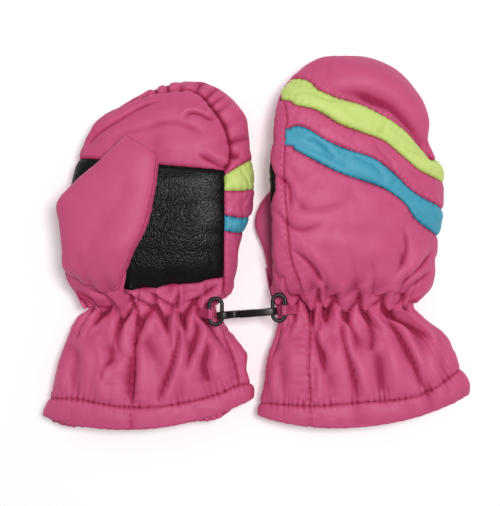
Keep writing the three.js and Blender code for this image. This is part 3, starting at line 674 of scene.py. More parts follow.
def cloth_relief(side, points, normals, distance, y):
    """How far simulated cloth, sewn down at the seams and the wrist, stands off the surface."""
    rows = np.arange(0, N_ALONG, CLOTH_STEP)
    columns = np.arange(0, N_AROUND, CLOTH_STEP)
    base = points[rows][:, columns]
    cloth = mesh_object(f"{side}_cloth", base.reshape(-1, 3) * MM * CLOTH_SCALE,
                        grid_faces(len(rows), len(columns)), bpy.data.materials.new("cloth"))
    near_seam = np.clip(1.6 - distance / 1.6, 0, 1)
    near_wrist = np.clip(1.5 - np.abs(y) / 9, 0, 1)
    held = np.maximum(near_seam, near_wrist)
    held[[0, -1]] = 1
    group = cloth.vertex_groups.new(name="sewn")
    for i, weight in enumerate(held[rows][:, columns].ravel().tolist()):
        if weight > 0.01:
            group.add([i], weight, "REPLACE")
    solver = cloth.modifiers.new("cloth", "CLOTH")
    for key, value in CLOTH_SETTINGS.items():
        setattr(solver.settings, key, value)
    solver.settings.effector_weights.gravity = 0
    solver.collision_settings.use_collision = False
    solver.point_cache.frame_start = 1
    solver.point_cache.frame_end = CLOTH_FRAMES
    for step in range(1, CLOTH_FRAMES + 1):
        bpy.context.scene.frame_set(step)
    shape = cloth.evaluated_get(bpy.context.evaluated_depsgraph_get()).to_mesh()
    moved = np.empty(len(shape.vertices) * 3)
    shape.vertices.foreach_get("co", moved)
    bpy.data.objects.remove(cloth)
    bpy.context.scene.frame_set(1)
    moved = moved.reshape(base.shape) / (MM * CLOTH_SCALE)
    relief = ((moved - base) * normals[rows][:, columns]).sum(-1)
    relief = CLOTH_CAP * np.tanh(np.nan_to_num(relief) / CLOTH_EASE)
    wrapped = np.concatenate([relief, relief[:, :1]], 1)
    wide = np.stack([np.interp(np.arange(N_AROUND), np.append(columns, N_AROUND), row) for row in wrapped])
    return np.stack([np.interp(np.arange(N_ALONG), rows, column) for column in wide.T], 1)


# ---- meshes ----
def to_world(points, origin):
    return (np.asarray(points) + origin) * MM


def grid_faces(rows, columns, closed=True):
    """Outward faces of a grid whose columns run round."""
    i = np.arange(rows - 1)[:, None]
    j = np.arange(columns if closed else columns - 1)[None, :]
    nxt = (j + 1) % columns
    here, above = i * columns, (i + 1) * columns
    return np.stack([here + j, above + j, above + nxt, here + nxt], -1).reshape(-1, 4)


def used_only(points, faces):
    """The points that the faces use, and the faces with their numbers changed to match."""
    used = sorted({i for face in faces for i in face})
    renamed = {old: new for new, old in enumerate(used)}
    return points[used], [[renamed[i] for i in face] for face in faces]


def clip_grid(points, field, marks):
    """The part of a grid inside a panel's field, cut along its edge: points, faces and marks."""
    faces = grid_faces(*field.shape)
    value = field.ravel() - PANEL_EDGE
    rows = np.hstack([points.reshape(-1, 3), marks])
    inside = value >= 0
    count = inside[faces].sum(1)
    whole = faces[count == 4].tolist()
    new_rows = []
    cut = {}

    def crossing(a, b):
        key = (min(a, b), max(a, b))
        if key not in cut:
            a, b = key
            t = value[a] / (value[a] - value[b])
            cut[key] = len(rows) + len(new_rows)
            new_rows.append(rows[a] * (1 - t) + rows[b] * t)
        return cut[key]

    for face in faces[(count > 0) & (count < 4)].tolist():
        shape = []
        for a, b in zip(face, face[1:] + face[:1]):
            if inside[a]:
                shape.append(a)
            if inside[a] != inside[b]:
                shape.append(crossing(a, b))
        if len(shape) >= 3:
            whole.append(shape)
    kept, whole = used_only(np.vstack([rows, *new_rows]), whole)
    return kept[:, :3], whole, kept[:, 3:]


def linked(thing):
    bpy.context.scene.collection.objects.link(thing)
    return thing


def mesh_object(name, points, faces, material):
    mesh = bpy.data.meshes.new(name)
    mesh.from_pydata([tuple(p) for p in points], [], [tuple(f) for f in faces])
    mesh.validate()
    mesh.shade_smooth()
    mesh.materials.append(material)
    return linked(bpy.data.objects.new(name, mesh))


def grid_piece(name, grid, origin, material, closed=True, inside_out=False):
    """A sheet made of a whole grid of points in a mitten's own frame."""
    faces = grid_faces(*grid.shape[:2], closed)
    if inside_out:
        faces = faces[:, ::-1]
    return mesh_object(name, to_world(grid.reshape(-1, 3), origin), faces, MATERIALS[material])


def thicken(piece, thickness, offset=-1):
    """Gives a sheet its thickness: inwards, or to both sides where the offset is 0."""
    solid = piece.modifiers.new("thickness", "SOLIDIFY")
    solid.thickness = thickness * MM
    solid.offset = offset
    solid.use_even_offset = False
    thick = bpy.data.meshes.new_from_object(
        piece.evaluated_get(bpy.context.evaluated_depsgraph_get()))
    thin = piece.data
    piece.modifiers.clear()
    piece.data = thick
    bpy.data.meshes.remove(thin)
    return piece


def add_marks(piece, marks=None):
    """Stores each point's distance to the nearest seam and its fold, for the material, which paints shade
    along the seams and in the folds, and a highlight on the ridges, by them.
    """
    if marks is None:
        marks = np.tile([PLAIN_MARK, 0.0], (len(piece.data.vertices), 1))
    for name, values in zip(("seam_mm", "fold"), np.asarray(marks, np.float32).T):
        attribute = piece.data.attributes.new(name, "FLOAT", "POINT")
        attribute.data.foreach_set("value", np.ascontiguousarray(values))


# ---- materials ----
def srgb(red, green, blue):
    """A colour given as screen values from 0 to 255."""
    screen = [c / 255 for c in (red, green, blue)]
    return [c / 12.92 if c < 11 / 255 else ((c + 0.055) / 1.055) ** 2.4 for c in screen] + [1]


def toned(colour, times, plus=0.0):
    """A lighter or darker tone of a colour."""
    return [min(1, c * times + plus) for c in colour[:3]] + [1]


class Nodes:
    """A small helper for building a material's nodes."""

    def __init__(self, name):
        self.material = bpy.data.materials.new(name)
        self.material.use_nodes = True
        self.tree = self.material.node_tree
        self.shader = self.tree.nodes["Principled BSDF"]

    def add(self, kind, values=None, **settings):
        node = self.tree.nodes.new(kind)
        for key, value in settings.items():
            setattr(node, key, value)
        for key, value in (values or {}).items():
            self.set(node.inputs[key], value)
        return node

    def set(self, socket, value):
        if isinstance(value, bpy.types.NodeSocket):
            self.tree.links.new(value, socket)
        else:
            socket.default_value = value

    def shade(self, **values):
        for key, value in values.items():
            self.set(self.shader.inputs[key.replace("_", " ")], value)

    def math(self, operation, a, b=0.0, clamp=False):
        node = self.add("ShaderNodeMath", {0: a, 1: b}, operation=operation, use_clamp=clamp)
        return node.outputs[0]

    def noise(self, scale, detail=3.0, roughness=0.55, distortion=0.0):
        return self.add("ShaderNodeTexNoise", {
            "Vector": self.place(), "Scale": scale, "Detail": detail, "Roughness": roughness,
            "Distortion": distortion}).outputs[0]

    def wave(self, direction, scale, distortion, detail=2.0, turn=0.0):
        return self.add("ShaderNodeTexWave", {
            "Vector": self.place(turn), "Scale": scale, "Distortion": distortion,
            "Detail": detail}, bands_direction=direction).outputs["Fac"]

    def mark(self, name):
        return self.add("ShaderNodeAttribute", attribute_name=name).outputs["Fac"]

    def place(self, turn=0.0):
        where = self.add("ShaderNodeTexCoord").outputs["Object"]
        return self.add("ShaderNodeMapping", {"Vector": where, "Rotation": (0, 0, turn)}).outputs[0]

    def raised(self, start, value, times):
        """A value times this much, added to the start."""
        return self.math("ADD", start, self.math("MULTIPLY", value, times))

    def bump(self, height, distance, strength=1.0, normal=None):
        values = {"Height": height, "Distance": distance, "Strength": strength}
        if normal is not None:
            values["Normal"] = normal
        return self.add("ShaderNodeBump", values).outputs[0]

    def mix(self, factor, a, b):
        node = self.add("ShaderNodeMix", data_type="RGBA")
        self.set(node.inputs[0], factor)
        self.set(node.inputs[6], a)
        self.set(node.inputs[7], b)
        return node.outputs[2]


def deepened(shade, amount):
    """The tone a dyed fabric has where light reaches it only off itself."""
    strongest = max(shade[:3])
    return [c * amount * (c / strongest) ** 0.7 for c in shade[:3]] + [1]


def nylon(name, colour, shade):
    """Woven nylon: fine weave, soft crinkles, painted shade in the seams and folds, a painted highlight on
    ridges, and a slight sheen.
    """
    n = Nodes(name)
    weave = n.math("MULTIPLY", n.wave("X", 620.0, 0.4, 1.0, 0.1), n.wave("Y", 620.0, 0.4, 1.0, 0.1))
    crinkles = n.raised(n.noise(95.0, 4.0, 0.6, 0.8), n.noise(330.0, 3.0, 0.6, 0.4), 0.22)
    normal = n.bump(weave, 0.00006, 0.5, n.bump(crinkles, 0.00035, 0.85))
    cloudy = n.noise(38.0)
    tone = n.math("MULTIPLY", n.math("SUBTRACT", cloudy, 0.35), 0.75, clamp=True)
    # painted shade: the seams' grooves are darkened with the fabric's shadow tone
    near_seam = n.math("SUBTRACT", 1.0, n.math("DIVIDE", n.mark("seam_mm"), 1.1), clamp=True)
    coloured = n.mix(n.math("MULTIPLY", near_seam, 0.4), n.mix(tone, colour, shade),
                     deepened(shade, 0.62))
    # painted shade: the hollows of the folds are darkened with the fabric's shadow tone
    fold = n.mark("fold")
    shaded = n.math("POWER", n.math("MAXIMUM", fold, 0.0), 1.4)
    coloured = n.mix(n.math("MULTIPLY", shaded, 0.75, clamp=True), coloured, deepened(shade, 0.5))
    # painted highlight: the ridges of the folds are lightened
    ridge_highlight = n.math("MULTIPLY", fold, -0.25, clamp=True)
    coloured = n.mix(ridge_highlight, coloured, toned(colour, 1.3, 0.03))
    threads = n.mix(n.math("MULTIPLY", weave, 0.1), coloured, toned(colour, 1.25, 0.01))
    # less gloss in the hollows of the folds, to go with their painted shade
    gloss = n.math("SUBTRACT", 0.3, n.math("MULTIPLY", fold, 0.4, clamp=True), clamp=True)
    n.shade(Base_Color=threads, Roughness=n.raised(0.46, cloudy, 0.12), Normal=normal, Sheen_Weight=0.12,
            Sheen_Roughness=0.45, Sheen_Tint=colour, Specular_IOR_Level=gloss)
    return n.material


def grip(name):
    """Black coated fabric with a pebbled grain, its raised dots catching the light."""
    n = Nodes(name)
    cells = n.add("ShaderNodeTexVoronoi", {"Vector": n.place(), "Scale": 1050.0, "Smoothness": 0.5,
                                           "Randomness": 0.95}, feature="SMOOTH_F1")
    pebble = n.math("SUBTRACT", 0.75, cells.outputs["Distance"])
    broad = n.noise(140.0)
    patchy = n.math("MULTIPLY", n.math("SUBTRACT", n.noise(24.0, 2.0), 0.5), 1.6)
    inside = n.math("MULTIPLY", n.math("SUBTRACT", n.mark("seam_mm"), 1.0), 0.07)
    middle = n.math("MAXIMUM", n.math("ADD", inside, patchy, clamp=True), 0.35)
    normal = n.bump(n.math("MULTIPLY", n.raised(pebble, broad, 0.3), middle), 0.0004, 0.95)
    wear = n.math("MULTIPLY", n.math("GREATER_THAN", n.noise(900.0, 2.0), 0.62), 0.35)
    n.shade(Base_Color=n.mix(wear, srgb(13, 12, 14), srgb(30, 29, 31)), Normal=normal,
            Roughness=n.raised(0.26, broad, 0.25), Specular_IOR_Level=0.2)
    return n.material


def fleece(name, colour):
    """Brushed fleece."""
    n = Nodes(name)
    fluff, clumps = n.noise(700.0, 4.0, 0.7), n.noise(120.0)
    n.shade(Base_Color=n.mix(clumps, colour, toned(colour, 0.7)), Roughness=n.raised(0.85, fluff, 0.1),
            Normal=n.bump(n.math("ADD", fluff, clumps), 0.0006, 0.9), Sheen_Weight=0.5)
    return n.material


def elastic(name, colour):
    """Woven elastic with ribs along one direction."""
    n = Nodes(name)
    ribs, cross = n.wave("Y", 900.0, 0.3), n.wave("X", 1440.0, 0.3)
    n.shade(Base_Color=n.mix(n.math("MULTIPLY", ribs, 0.5), colour, toned(colour, 0.55)),
            Roughness=n.raised(0.7, cross, 0.1), Normal=n.bump(n.raised(ribs, cross, 0.5), 0.0003, 0.8))
    return n.material


def moulded(name, colour):
    """Moulded black plastic, with a fine texture and rubbed patches."""
    n = Nodes(name)
    fine, rubbed = n.noise(900.0, 2.0), n.noise(160.0, 4.0)
    wear = n.math("MULTIPLY", n.math("SUBTRACT", rubbed, 0.45), 1.2, clamp=True)
    n.shade(Base_Color=n.mix(wear, colour, toned(colour, 1.8, 0.004)), Normal=n.bump(fine, 0.00006, 0.5),
            Roughness=n.raised(0.28, rubbed, 0.22), Specular_IOR_Level=0.42)
    return n.material


def thread(name, colour):
    """Twisted sewing thread."""
    n = Nodes(name)
    twist = n.wave("DIAGONAL", 900.0, 1.0)
    n.shade(Base_Color=n.mix(n.math("MULTIPLY", twist, 0.4), colour, toned(colour, 0.6)),
            Roughness=n.raised(0.5, twist, 0.15), Normal=n.bump(twist, 0.0001, 0.6))
    return n.material


MATERIALS = {
    "pink": nylon("pink_nylon", srgb(208, 84, 130), srgb(192, 68, 113)),
    "yellow": nylon("yellow_nylon", srgb(206, 226, 128), srgb(190, 212, 112)),
    "blue": nylon("blue_nylon", srgb(72, 164, 190), srgb(58, 144, 172)),
    "patch": grip("black_grip"),
    "lining": fleece("pink_fleece", srgb(206, 96, 138)),
    "wadding": fleece("white_wadding", srgb(236, 234, 228)),
    "elastic": elastic("wrist_elastic", srgb(226, 224, 218)),
    "plastic": moulded("black_plastic", srgb(17, 13, 14)),
    "pink_thread": thread("pink_thread", srgb(212, 62, 110)),
    "red_thread": thread("red_thread", srgb(196, 88, 96)),
}


def finish_piece(piece, body=None, nodes=(), bend=None):
    """Hides the CAD nodes that a piece stands for, and attaches the piece to the body that carries it, or,
    where a bend is given, bakes its place into its points.
    """
    if bend:
        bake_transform(piece)
    else:
        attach(piece, body)
    if nodes:
        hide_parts(*nodes)


# ---- one mitten ----
WRIST_HALF = 4.2
PANELS = {
    # piece: (material, CAD nodes, what carries it)
    "fingertip_panel": ("pink", ["fingertip_panel"], "hand"),
    "yellow_stripe": ("yellow", ["yellow_stripe"], "hand"),
    "middle_panel": ("pink", ["middle_panel"], "hand"),
    "blue_stripe": ("blue", ["blue_stripe"], "hand"),
    "back_panel": ("pink", ["back_panel", "cuff_back_panel", "wrist_gather"], "wrist"),
    "side_panel": ("pink", ["side_panel", "cuff_side_panel"], "wrist"),
    "palm_tip_panel": ("pink", ["palm_tip_panel"], "hand"),
    "palm_patch": ("patch", ["palm_patch"], "hand"),
    "palm_thumb_side": ("pink", ["palm_heel_panel", "cuff_thumb_side_panel"], "wrist"),
    "palm_finger_side": ("pink", ["cuff_finger_side_panel"], "wrist"),
    "hem_band": ("pink", ["hem_band"], "cuff"),
}


def wrist_bend_of(side):
    x, y, z = joint_point(f"{side}_wrist_bend")
    start = (x * MM, (y + WRIST_HALF + 1) * MM, z * MM)
    end = (x * MM, (y - WRIST_HALF - 1) * MM, z * MM)
    return (f"{side}_hand", f"{side}_cuff", start, end)


def build_panels(side, skin):
    for name, (material, nodes, carrier) in PANELS.items():
        points, faces, marks = clip_grid(skin["points"], skin["panels"][name], skin["marks"])
        piece = mesh_object(f"{side}_{name}_fabric", to_world(points, SIDES[side]["origin"]), faces,
                            MATERIALS[material])
        add_marks(piece, marks)
        thicken(piece, FABRIC_THICKNESS)
        bend = wrist_bend_of(side) if carrier == "wrist" else None
        finish_piece(piece, f"{side}_{carrier}", [f"{side}_{n}" for n in nodes], bend)


ALONG = np.array([0, 1, 0])  # from the hem towards the fingertips
HEM_RADIUS = 2.2
HEM_ROWS = 9  # round the edge, and again up inside the cuff
HEM_THICKNESS = 5.6
RUFFLE_INSET = 3.5  # how far inside the hem the lining's ruffled edge lies


def build_hem(side, skin):
    """The hem's fabric turns round the edge of the cuff and runs up inside it."""
    data = SIDES[side]
    rim, inward = skin["points"][0], skin["normals"][0]
    inner = surface(data["hand"], skin["v"], skin["angle"], HEM_THICKNESS)
    s = arc_lengths(skin["plain"])[0][0]
    ruffle = (0.6 * wave(s, 4.6, data["seed"] + 77) + 0.4 * wave(s, 7.7, data["seed"] + 78))[:, None]
    rows = []
    for turn in np.linspace(0, math.pi, HEM_ROWS):
        place = rim - inward * HEM_RADIUS * (1 - math.cos(turn))
        place = place - ALONG * (HEM_RADIUS * 0.45 * math.sin(turn))
        share = math.sin(turn)
        rows.append(place + inward * 0.3 * ruffle * share - ALONG * 0.08 * ruffle * share)
    for step in range(1, HEM_ROWS):
        share = step / (HEM_ROWS - 1)
        deeper = rows[HEM_ROWS - 1] * (1 - share) + inner[10 + step * 3] * share
        rows.append(deeper + inward * 0.5 * ruffle * (1 - share))
    grid = np.stack(rows)
    grid[..., 2] = np.maximum(grid[..., 2], LOWEST)
    fold = grid_piece(f"{side}_hem_fold_fabric", grid, data["origin"], "pink", inside_out=True)
    add_marks(fold)
    finish_piece(fold, f"{side}_cuff")


def build_ruffle(side, skin):
    """The puckered edge of the lining, which shows in places just under the hem."""
    data = SIDES[side]
    rim, inward = skin["points"][0], skin["normals"][0]
    s = arc_lengths(skin["plain"])[0][0]
    uneven = noise(rim, 16, data["seed"] + 81)
    x = rim[:, 0]
    drop = 1.0 * uneven - 0.8
    if data["palm_up"]:
        drop = 1.2 * uneven + 0.2 + 2.6 * bump(x + 42, 13) + 3.0 * bump(x - 35, 12)
    folds = wave(s, 3.6, data["seed"] + 82) + 0.5 * wave(s, 5.9, data["seed"] + 83)
    rows = []
    for t in np.linspace(0, 1, 12):
        place = rim - inward * (RUFFLE_INSET + 0.6 * folds * (1 - t))[:, None]
        rows.append(place + ALONG * (-drop * (1 - t) + 7 * t - 0.4 * folds * (1 - t))[:, None])
    grid = np.stack(rows)
    grid[..., 2] = np.maximum(grid[..., 2], LOWEST)
    piece = grid_piece(f"{side}_hem_ruffle_fabric", grid, data["origin"], "pink")
    marks = np.full((len(rows), N_AROUND, 2), PLAIN_MARK)
    # the ruffle's folds, by which the material paints shade in their hollows and a highlight on their
    # crests
    marks[..., 1] = np.clip(-folds, -0.4, 1)
    add_marks(piece, marks.reshape(-1, 2))
    thicken(piece, 0.4)
    finish_piece(piece, f"{side}_cuff")


LAYER_STEP = 3  # the layers have every third row and column of the fine grid
LAYER_DEPTH = 5.2  # how far under the plain surface the layers lie
FOLD_ROOM = 2.4  # how far they stay under the deepest fold near them


def build_layers(side, skin):
    """The lining, the wadding and the wrist's elastic, under the outer fabric."""
    data = SIDES[side]
    bend = wrist_bend_of(side)
    picked = np.ix_(np.arange(16, N_ALONG - 6, LAYER_STEP), np.arange(0, N_AROUND, LAYER_STEP))
    sunk = widened(-skin["height"], 5)[picked]
    depth = np.maximum(LAYER_DEPTH, sunk + FOLD_ROOM)[..., None]
    lining = skin["plain"][picked] - skin["normals"][picked] * depth
    soft = 0.5 * noise(lining, 9, data["seed"] + 51)
    lining = lining - grid_normals(lining) * soft[..., None]
    lining[..., 2] = np.maximum(lining[..., 2], LOWEST + 2)
    normals = grid_normals(lining)
    for name, inset, thickness, nodes in (
            ("lining", 0.0, 0.9, ["hand_lining", "cuff_lining", "wrist_lining"]),
            ("wadding", -1.2, 0.8, ["hand_wadding", "cuff_wadding"])):
        piece = grid_piece(f"{side}_{name}_layer", lining - normals * inset, data["origin"], name)
        thicken(piece, thickness)
        finish_piece(piece, None, [f"{side}_{n}" for n in nodes], bend)
    rows = np.abs(skin["plain"][:, 0, 1]) < WRIST_HALF + 1.5
    sunk = widened(-skin["height"], 4)[rows]
    inner = skin["plain"][rows] - skin["normals"][rows] * (sunk + 1)[..., None]
    band = grid_piece(f"{side}_wrist_elastic_band", inner, data["origin"], "elastic")
    thicken(band, 0.6)
    finish_piece(band, None, [f"{side}_wrist_elastic"], bend)


# ---- thumbs ----
THUMB_ROWS, THUMB_COLUMNS = 110, 132
THUMB_SEAM = 2.6  # how far from the right edge the front panel's seam lies
THUMB_DENT = [[-40, 22], [-27, 30], [-16, 47], [-9, 60]]
THUMB_WADDING_DEPTH = {"left": 3.2, "right": 1.9}


def thumb_skin(side):
    """The outer surface of a thumb: two flat panels with a pressed seam round their edge."""
    data = SIDES[side]
    seed = data["seed"] + 200
    v, angle = round_grid(0.012, 0.994, THUMB_ROWS, THUMB_COLUMNS)
    points = surface(data["thumb"], v, angle, power=THUMB_ROUNDNESS)
    normals = grid_normals(points)
    x, y = points[..., 0], points[..., 1]
    s, total = arc_lengths(points)
    from_left = np.abs(s - s[:, THUMB_COLUMNS // 2][:, None])
    from_right = np.minimum(s, total - s)
    on_front = angle < math.pi
    ripple = wave(y, 4.4, seed + 2)
    height = 0.5 * noise(points, 19, seed) + 0.22 * noise(points, 8, seed + 1)
    height = height - 0.6 * bump(from_right - np.where(on_front, THUMB_SEAM, 0.6), 0.6)
    height = height + 0.1 * ripple * bump(from_right - THUMB_SEAM, 2.6)
    height = height - 0.5 * bump(from_left, 0.9) + 0.08 * ripple * bump(from_left, 2.4)
    base = np.exp(-np.maximum(y - 10, 0) / 8)
    height = height + 0.5 * base * wave(x + 0.35 * y, 8.5, seed + 3)
    dent, along = line_field(smooth_line(THUMB_DENT), x, y)
    height = height - 0.35 * bump(dent, 5.0) * np.clip(along / 8, 0, 1) * on_front
    height = height * np.clip((1 - v) / TIP_FADE, 0, 1)
    points = points + normals * (height - 0.5)[..., None]
    edge = np.minimum(from_left, from_right)
    front_edge = np.minimum(np.abs(from_right - THUMB_SEAM), edge + 0.6)
    edge = np.where(on_front & (y > 20), front_edge, edge + 0.5)
    # the seam distance and fold depth, by which the material paints shade along the seam and in the folds,
    # and a highlight on the ridges
    return settle(points), np.stack([edge.ravel(), fold_shade(height).ravel()], 1)


def build_thumb(side):
    data = SIDES[side]
    points, marks = thumb_skin(side)
    rows = np.hstack([points.reshape(-1, 3), marks])
    faces = grid_faces(THUMB_ROWS, THUMB_COLUMNS)
    on_front = faces[:, 0] % THUMB_COLUMNS < THUMB_COLUMNS // 2
    lids = [list(range(THUMB_COLUMNS)), list(range(len(rows) - THUMB_COLUMNS, len(rows)))[::-1]]
    for name, picked in (("front", faces[on_front].tolist()), ("back", faces[~on_front].tolist() + lids)):
        kept, shape = used_only(rows, picked)
        piece = mesh_object(f"{side}_thumb_{name}_fabric", to_world(kept[:, :3], data["origin"]), shape,
                            MATERIALS["pink"])
        add_marks(piece, kept[:, 3:])
        finish_piece(piece, f"{side}_thumb", [f"{side}_thumb_{name}_panel"])
    layer = surface(data["thumb"], *round_grid(0.2, 0.85, 40, 48), THUMB_WADDING_DEPTH[side], dome=(10, 5))
    for name, inset in (("wadding", 0.0), ("lining", 0.9)):
        piece = grid_piece(f"{side}_thumb_{name}_layer", layer - grid_normals(layer) * inset,
                           data["origin"], name)
        thicken(piece, 0.5)
        finish_piece(piece, f"{side}_thumb", [f"{side}_thumb_{name}"])


def build_gusset(side, height_at):
    """The fabric at the base of the thumb, which ends in flaps over the wrist's folds."""
    data, gusset = SIDES[side], GUSSETS[side]
    x0, y0, _ = data["origin"]
    t = np.linspace(0, 1, 70)[:, None]
    u = np.linspace(-1, 1, 90)[None, :]
    left, right = catmull(gusset["left"], t), catmull(gusset["right"], t)
    bulge = catmull([[b] for b in gusset["bulge"]], t)[..., 0]
    share = ((u + 1) / 2)[..., None]
    points = left * (1 - share) + right * share
    crown = 1 - np.abs(u) ** 2.6
    folds = cusps(wave(u * 9.5 - 23 * t + 1.5 * np.sin(5 * t), 9.5, data["seed"] + 91))
    second = wave(u * 11 - 26 * t, 6.5, data["seed"] + 92)
    depth = 2.4 * np.clip((t - 0.3) / 0.7, 0, 1) ** 1.2 * crown ** 0.5
    lift = bulge * crown + np.sign(bulge) * depth * (0.8 * folds + 0.25 * second)
    points[..., 2] += lift - np.sign(bulge) * 0.5 * np.exp(-t / 0.05)
    if gusset["flaps"]:
        at, hang = np.array(gusset["flaps"]).T
        points[..., 1] += np.interp(points[-1, :, 0], at, hang)[None, :] * t ** 3
        rest = np.clip((t[:, 0] - 0.62) / 0.33, 0, 1) ** 2
        for row, settled in zip(points, rest):
            for point in row:
                under = height_at(x0 + point[0], y0 + point[1]) + 0.55
                point[2] = max(point[2] + (under - point[2]) * settled * 0.9, under)
    piece = grid_piece(f"{side}_thumb_gusset_fabric", settle(points), data["origin"], "pink", closed=False,
                       inside_out=True)
    # the folds' depth, by which the material paints shade in their hollows and a highlight on their crests
    bumps = np.abs(lift) - np.abs(bulge * crown)
    add_marks(piece, np.stack([np.full(bumps.size, PLAIN_MARK), np.clip(-bumps.ravel() / 1.6, -1, 1)], 1))
    thicken(piece, 0.5 if side == "left" else -0.5)
    hand_end = ((x0 - 25) * MM, (y0 + 4) * MM, 0.02)
    thumb_end = ((x0 - 25) * MM, (y0 + 21) * MM, 0.02)
    finish_piece(piece, None, (), (f"{side}_hand", f"{side}_thumb", hand_end, thumb_end))


# ---- rings, tabs and clip ----
RING_RADIUS, RING_STRAIGHT, RING_WIRE = 3.15, 6.6, 1.0


def moulding(name, outline, **settings):
    """A plastic piece made from a closed curve."""
    curve = bpy.data.curves.new(name, "CURVE")
    for key, value in settings.items():
        setattr(curve, key, value)
    spline = curve.splines.new("POLY")
    spline.points.add(len(outline) - 1)
    for point, (x, y) in zip(spline.points, outline):
        point.co = (x * MM, y * MM, 0, 1)
    spline.use_cyclic_u = True
    holder = linked(bpy.data.objects.new(name + "_curve", curve))
    bpy.context.view_layer.update()
    mesh = bpy.data.meshes.new_from_object(
        holder.evaluated_get(bpy.context.evaluated_depsgraph_get()))
    bpy.data.objects.remove(holder)
    mesh.materials.clear()
    mesh.materials.append(MATERIALS["plastic"])
    return linked(bpy.data.objects.new(name, mesh))


def build_ring(side):
    low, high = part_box(f"{side}_ring")
    outline = []
    for start, end in ((0, 1), (math.pi, -1)):
        for turn in np.linspace(start, start + math.pi, 25):
            outline.append((RING_RADIUS * math.cos(turn),
                            RING_RADIUS * math.sin(turn) + end * RING_STRAIGHT / 2))
    ring = moulding(f"{side}_ring_moulding", outline, dimensions="3D", bevel_depth=RING_WIRE * MM,
                    bevel_resolution=5)
    ring.data.shade_smooth()
    ring.location = [(a + b) / 2 for a, b in zip(low, high)]
    bpy.context.view_layer.update()
    finish_piece(ring, f"{side}_ring", [f"{side}_ring"])


# The clip, from its middle: the wall and the slot of a hook, and where along it the solid middle,
# the hook's lip and the gate's toe end.
CLIP_WALL, CLIP_SLOT, CLIP_WIDTH = 1.2, 4.0, 3.6
CLIP_WEB, CLIP_LIP, CLIP_TOE, CLIP_GAP = 4.0, 9.3, 10.3, 0.3
RING_PLAY = 0.25


def build_clip():
    """Each outline lies in the clip's length and height, and is given the clip's width."""
    left, right = joint_point("clip_swing_left"), joint_point("clip_swing_right")
    gates = np.array([joint_point("left_gate_open"), joint_point("right_gate_open")])
    tilt = math.atan2(gates[1][1] - gates[0][1], gates[1][0] - gates[0][0])
    half_slot = CLIP_SLOT / 2
    half_height = half_slot + CLIP_WALL
    half_length = (right[0] - left[0]) / 2 / math.cos(tilt) + RING_WIRE + RING_PLAY + CLIP_WALL
    end = half_length - half_height
    arc = np.linspace(math.pi / 2, -math.pi / 2, 17)
    hook = [(end + half_height * math.cos(a), half_height * math.sin(a)) for a in arc]
    hook += [(CLIP_LIP, -half_height), (CLIP_LIP, -half_slot)]
    hook += [(end + half_slot * math.cos(a), half_slot * math.sin(a)) for a in arc[::-1]]
    hook += [(CLIP_WEB, half_slot), (CLIP_WEB, -half_height)]
    gate = [(CLIP_WEB + CLIP_GAP, -half_height + 0.1), (CLIP_WEB + CLIP_GAP, -0.9), (CLIP_TOE, -0.9),
            (CLIP_TOE, -half_slot + CLIP_GAP), (CLIP_LIP - CLIP_GAP, -half_slot + CLIP_GAP),
            (CLIP_LIP - CLIP_GAP, -half_height + 0.1)]
    for name, body, outline, width, bevel in (
            ("clip_frame", "clip", hook + half_turned(hook), CLIP_WIDTH, 0.35),
            ("right_clip_gate", "right_clip_gate", gate, CLIP_WIDTH - 0.4, 0.2),
            ("left_clip_gate", "left_clip_gate", half_turned(gate), CLIP_WIDTH - 0.4, 0.2)):
        piece = moulding(f"{name}_moulding", outline, dimensions="2D", fill_mode="BOTH",
                         extrude=(width / 2 - bevel) * MM, bevel_depth=bevel * MM, bevel_resolution=3,
                         offset=-bevel * MM)
        piece.rotation_euler = (math.pi / 2, 0, tilt)
        piece.location = gates.mean(0) * MM
        bpy.context.view_layer.update()
        finish_piece(piece, body, [name])


def half_turned(outline):
    return [(-x, -z) for x, z in outline]


def build_tab(side, height_at):
    """A strip of the mitten's nylon folded round the ring's inner bar and sewn to the mitten."""
    x, y, z = joint_point(f"{side}_ring_flip")
    away = -1 if side == "left" else 1
    round_bar = RING_WIRE + 0.55
    near, far = [height_at(x + away * step, y) for step in (4, 6.5)]
    path = [(x + away * 7.5, far - 3.4), (x + away * 5.6, far - 1.6), (x + away * 3.4, near + 0.2)]
    for turn in np.linspace(math.pi / 2, -math.pi / 2, 9):
        path.append((x - away * round_bar * math.cos(turn), z + round_bar * math.sin(turn)))
    path += [(x + away * 3.4, near - 0.9), (x + away * 5.6, far - 2.6), (x + away * 7.5, far - 4.4)]
    line = smooth_line(path, 4)
    grid = np.array([[(px, y + offset, pz) for px, pz in line] for offset in np.linspace(-3.6, 1.2, 7)])
    piece = grid_piece(f"{side}_ring_tab_nylon", grid, 0, "pink", closed=False, inside_out=True)
    add_marks(piece)
    thicken(piece, 0.8, 0)
    finish_piece(piece, f"{side}_hand", [f"{side}_ring_tab"])


# ---- stitches ----
NO_FABRIC_Z = 20.0  # the height taken where no fabric is above or below


class Caster:
    """Finds the fabric's height and slope over or under a point."""

    def __init__(self, side, skin):
        self.origin = SIDES[side]["origin"]
        points = (skin["points"] + self.origin).reshape(-1, 3)
        faces = grid_faces(*skin["points"].shape[:2])
        self.tree = BVHTree.FromPolygons([Vector(p) for p in points], [tuple(f) for f in faces.tolist()])

    def hit(self, x, y, up=True):
        start = Vector((x, y, 200 if up else -200))
        place, normal, _, _ = self.tree.ray_cast(start, Vector((0, 0, -1 if up else 1)))
        return place, normal

    def height(self, x, y):
        place, _ = self.hit(x, y)
        return place.z if place else NO_FABRIC_Z


STITCH_SIDES = 6
# Each ring of a stitch: [place along it, thickness, how far it stands out of the fabric].
STITCH_RINGS = [(-0.5, 0.25, -0.5), (-0.36, 0.85, 0.1), (0, 1, 0.45), (0.36, 0.85, 0.1),
                (0.5, 0.25, -0.5)]
LONGEST_STEP = 3  # a stitch that would span more than this crosses an edge, and is left out


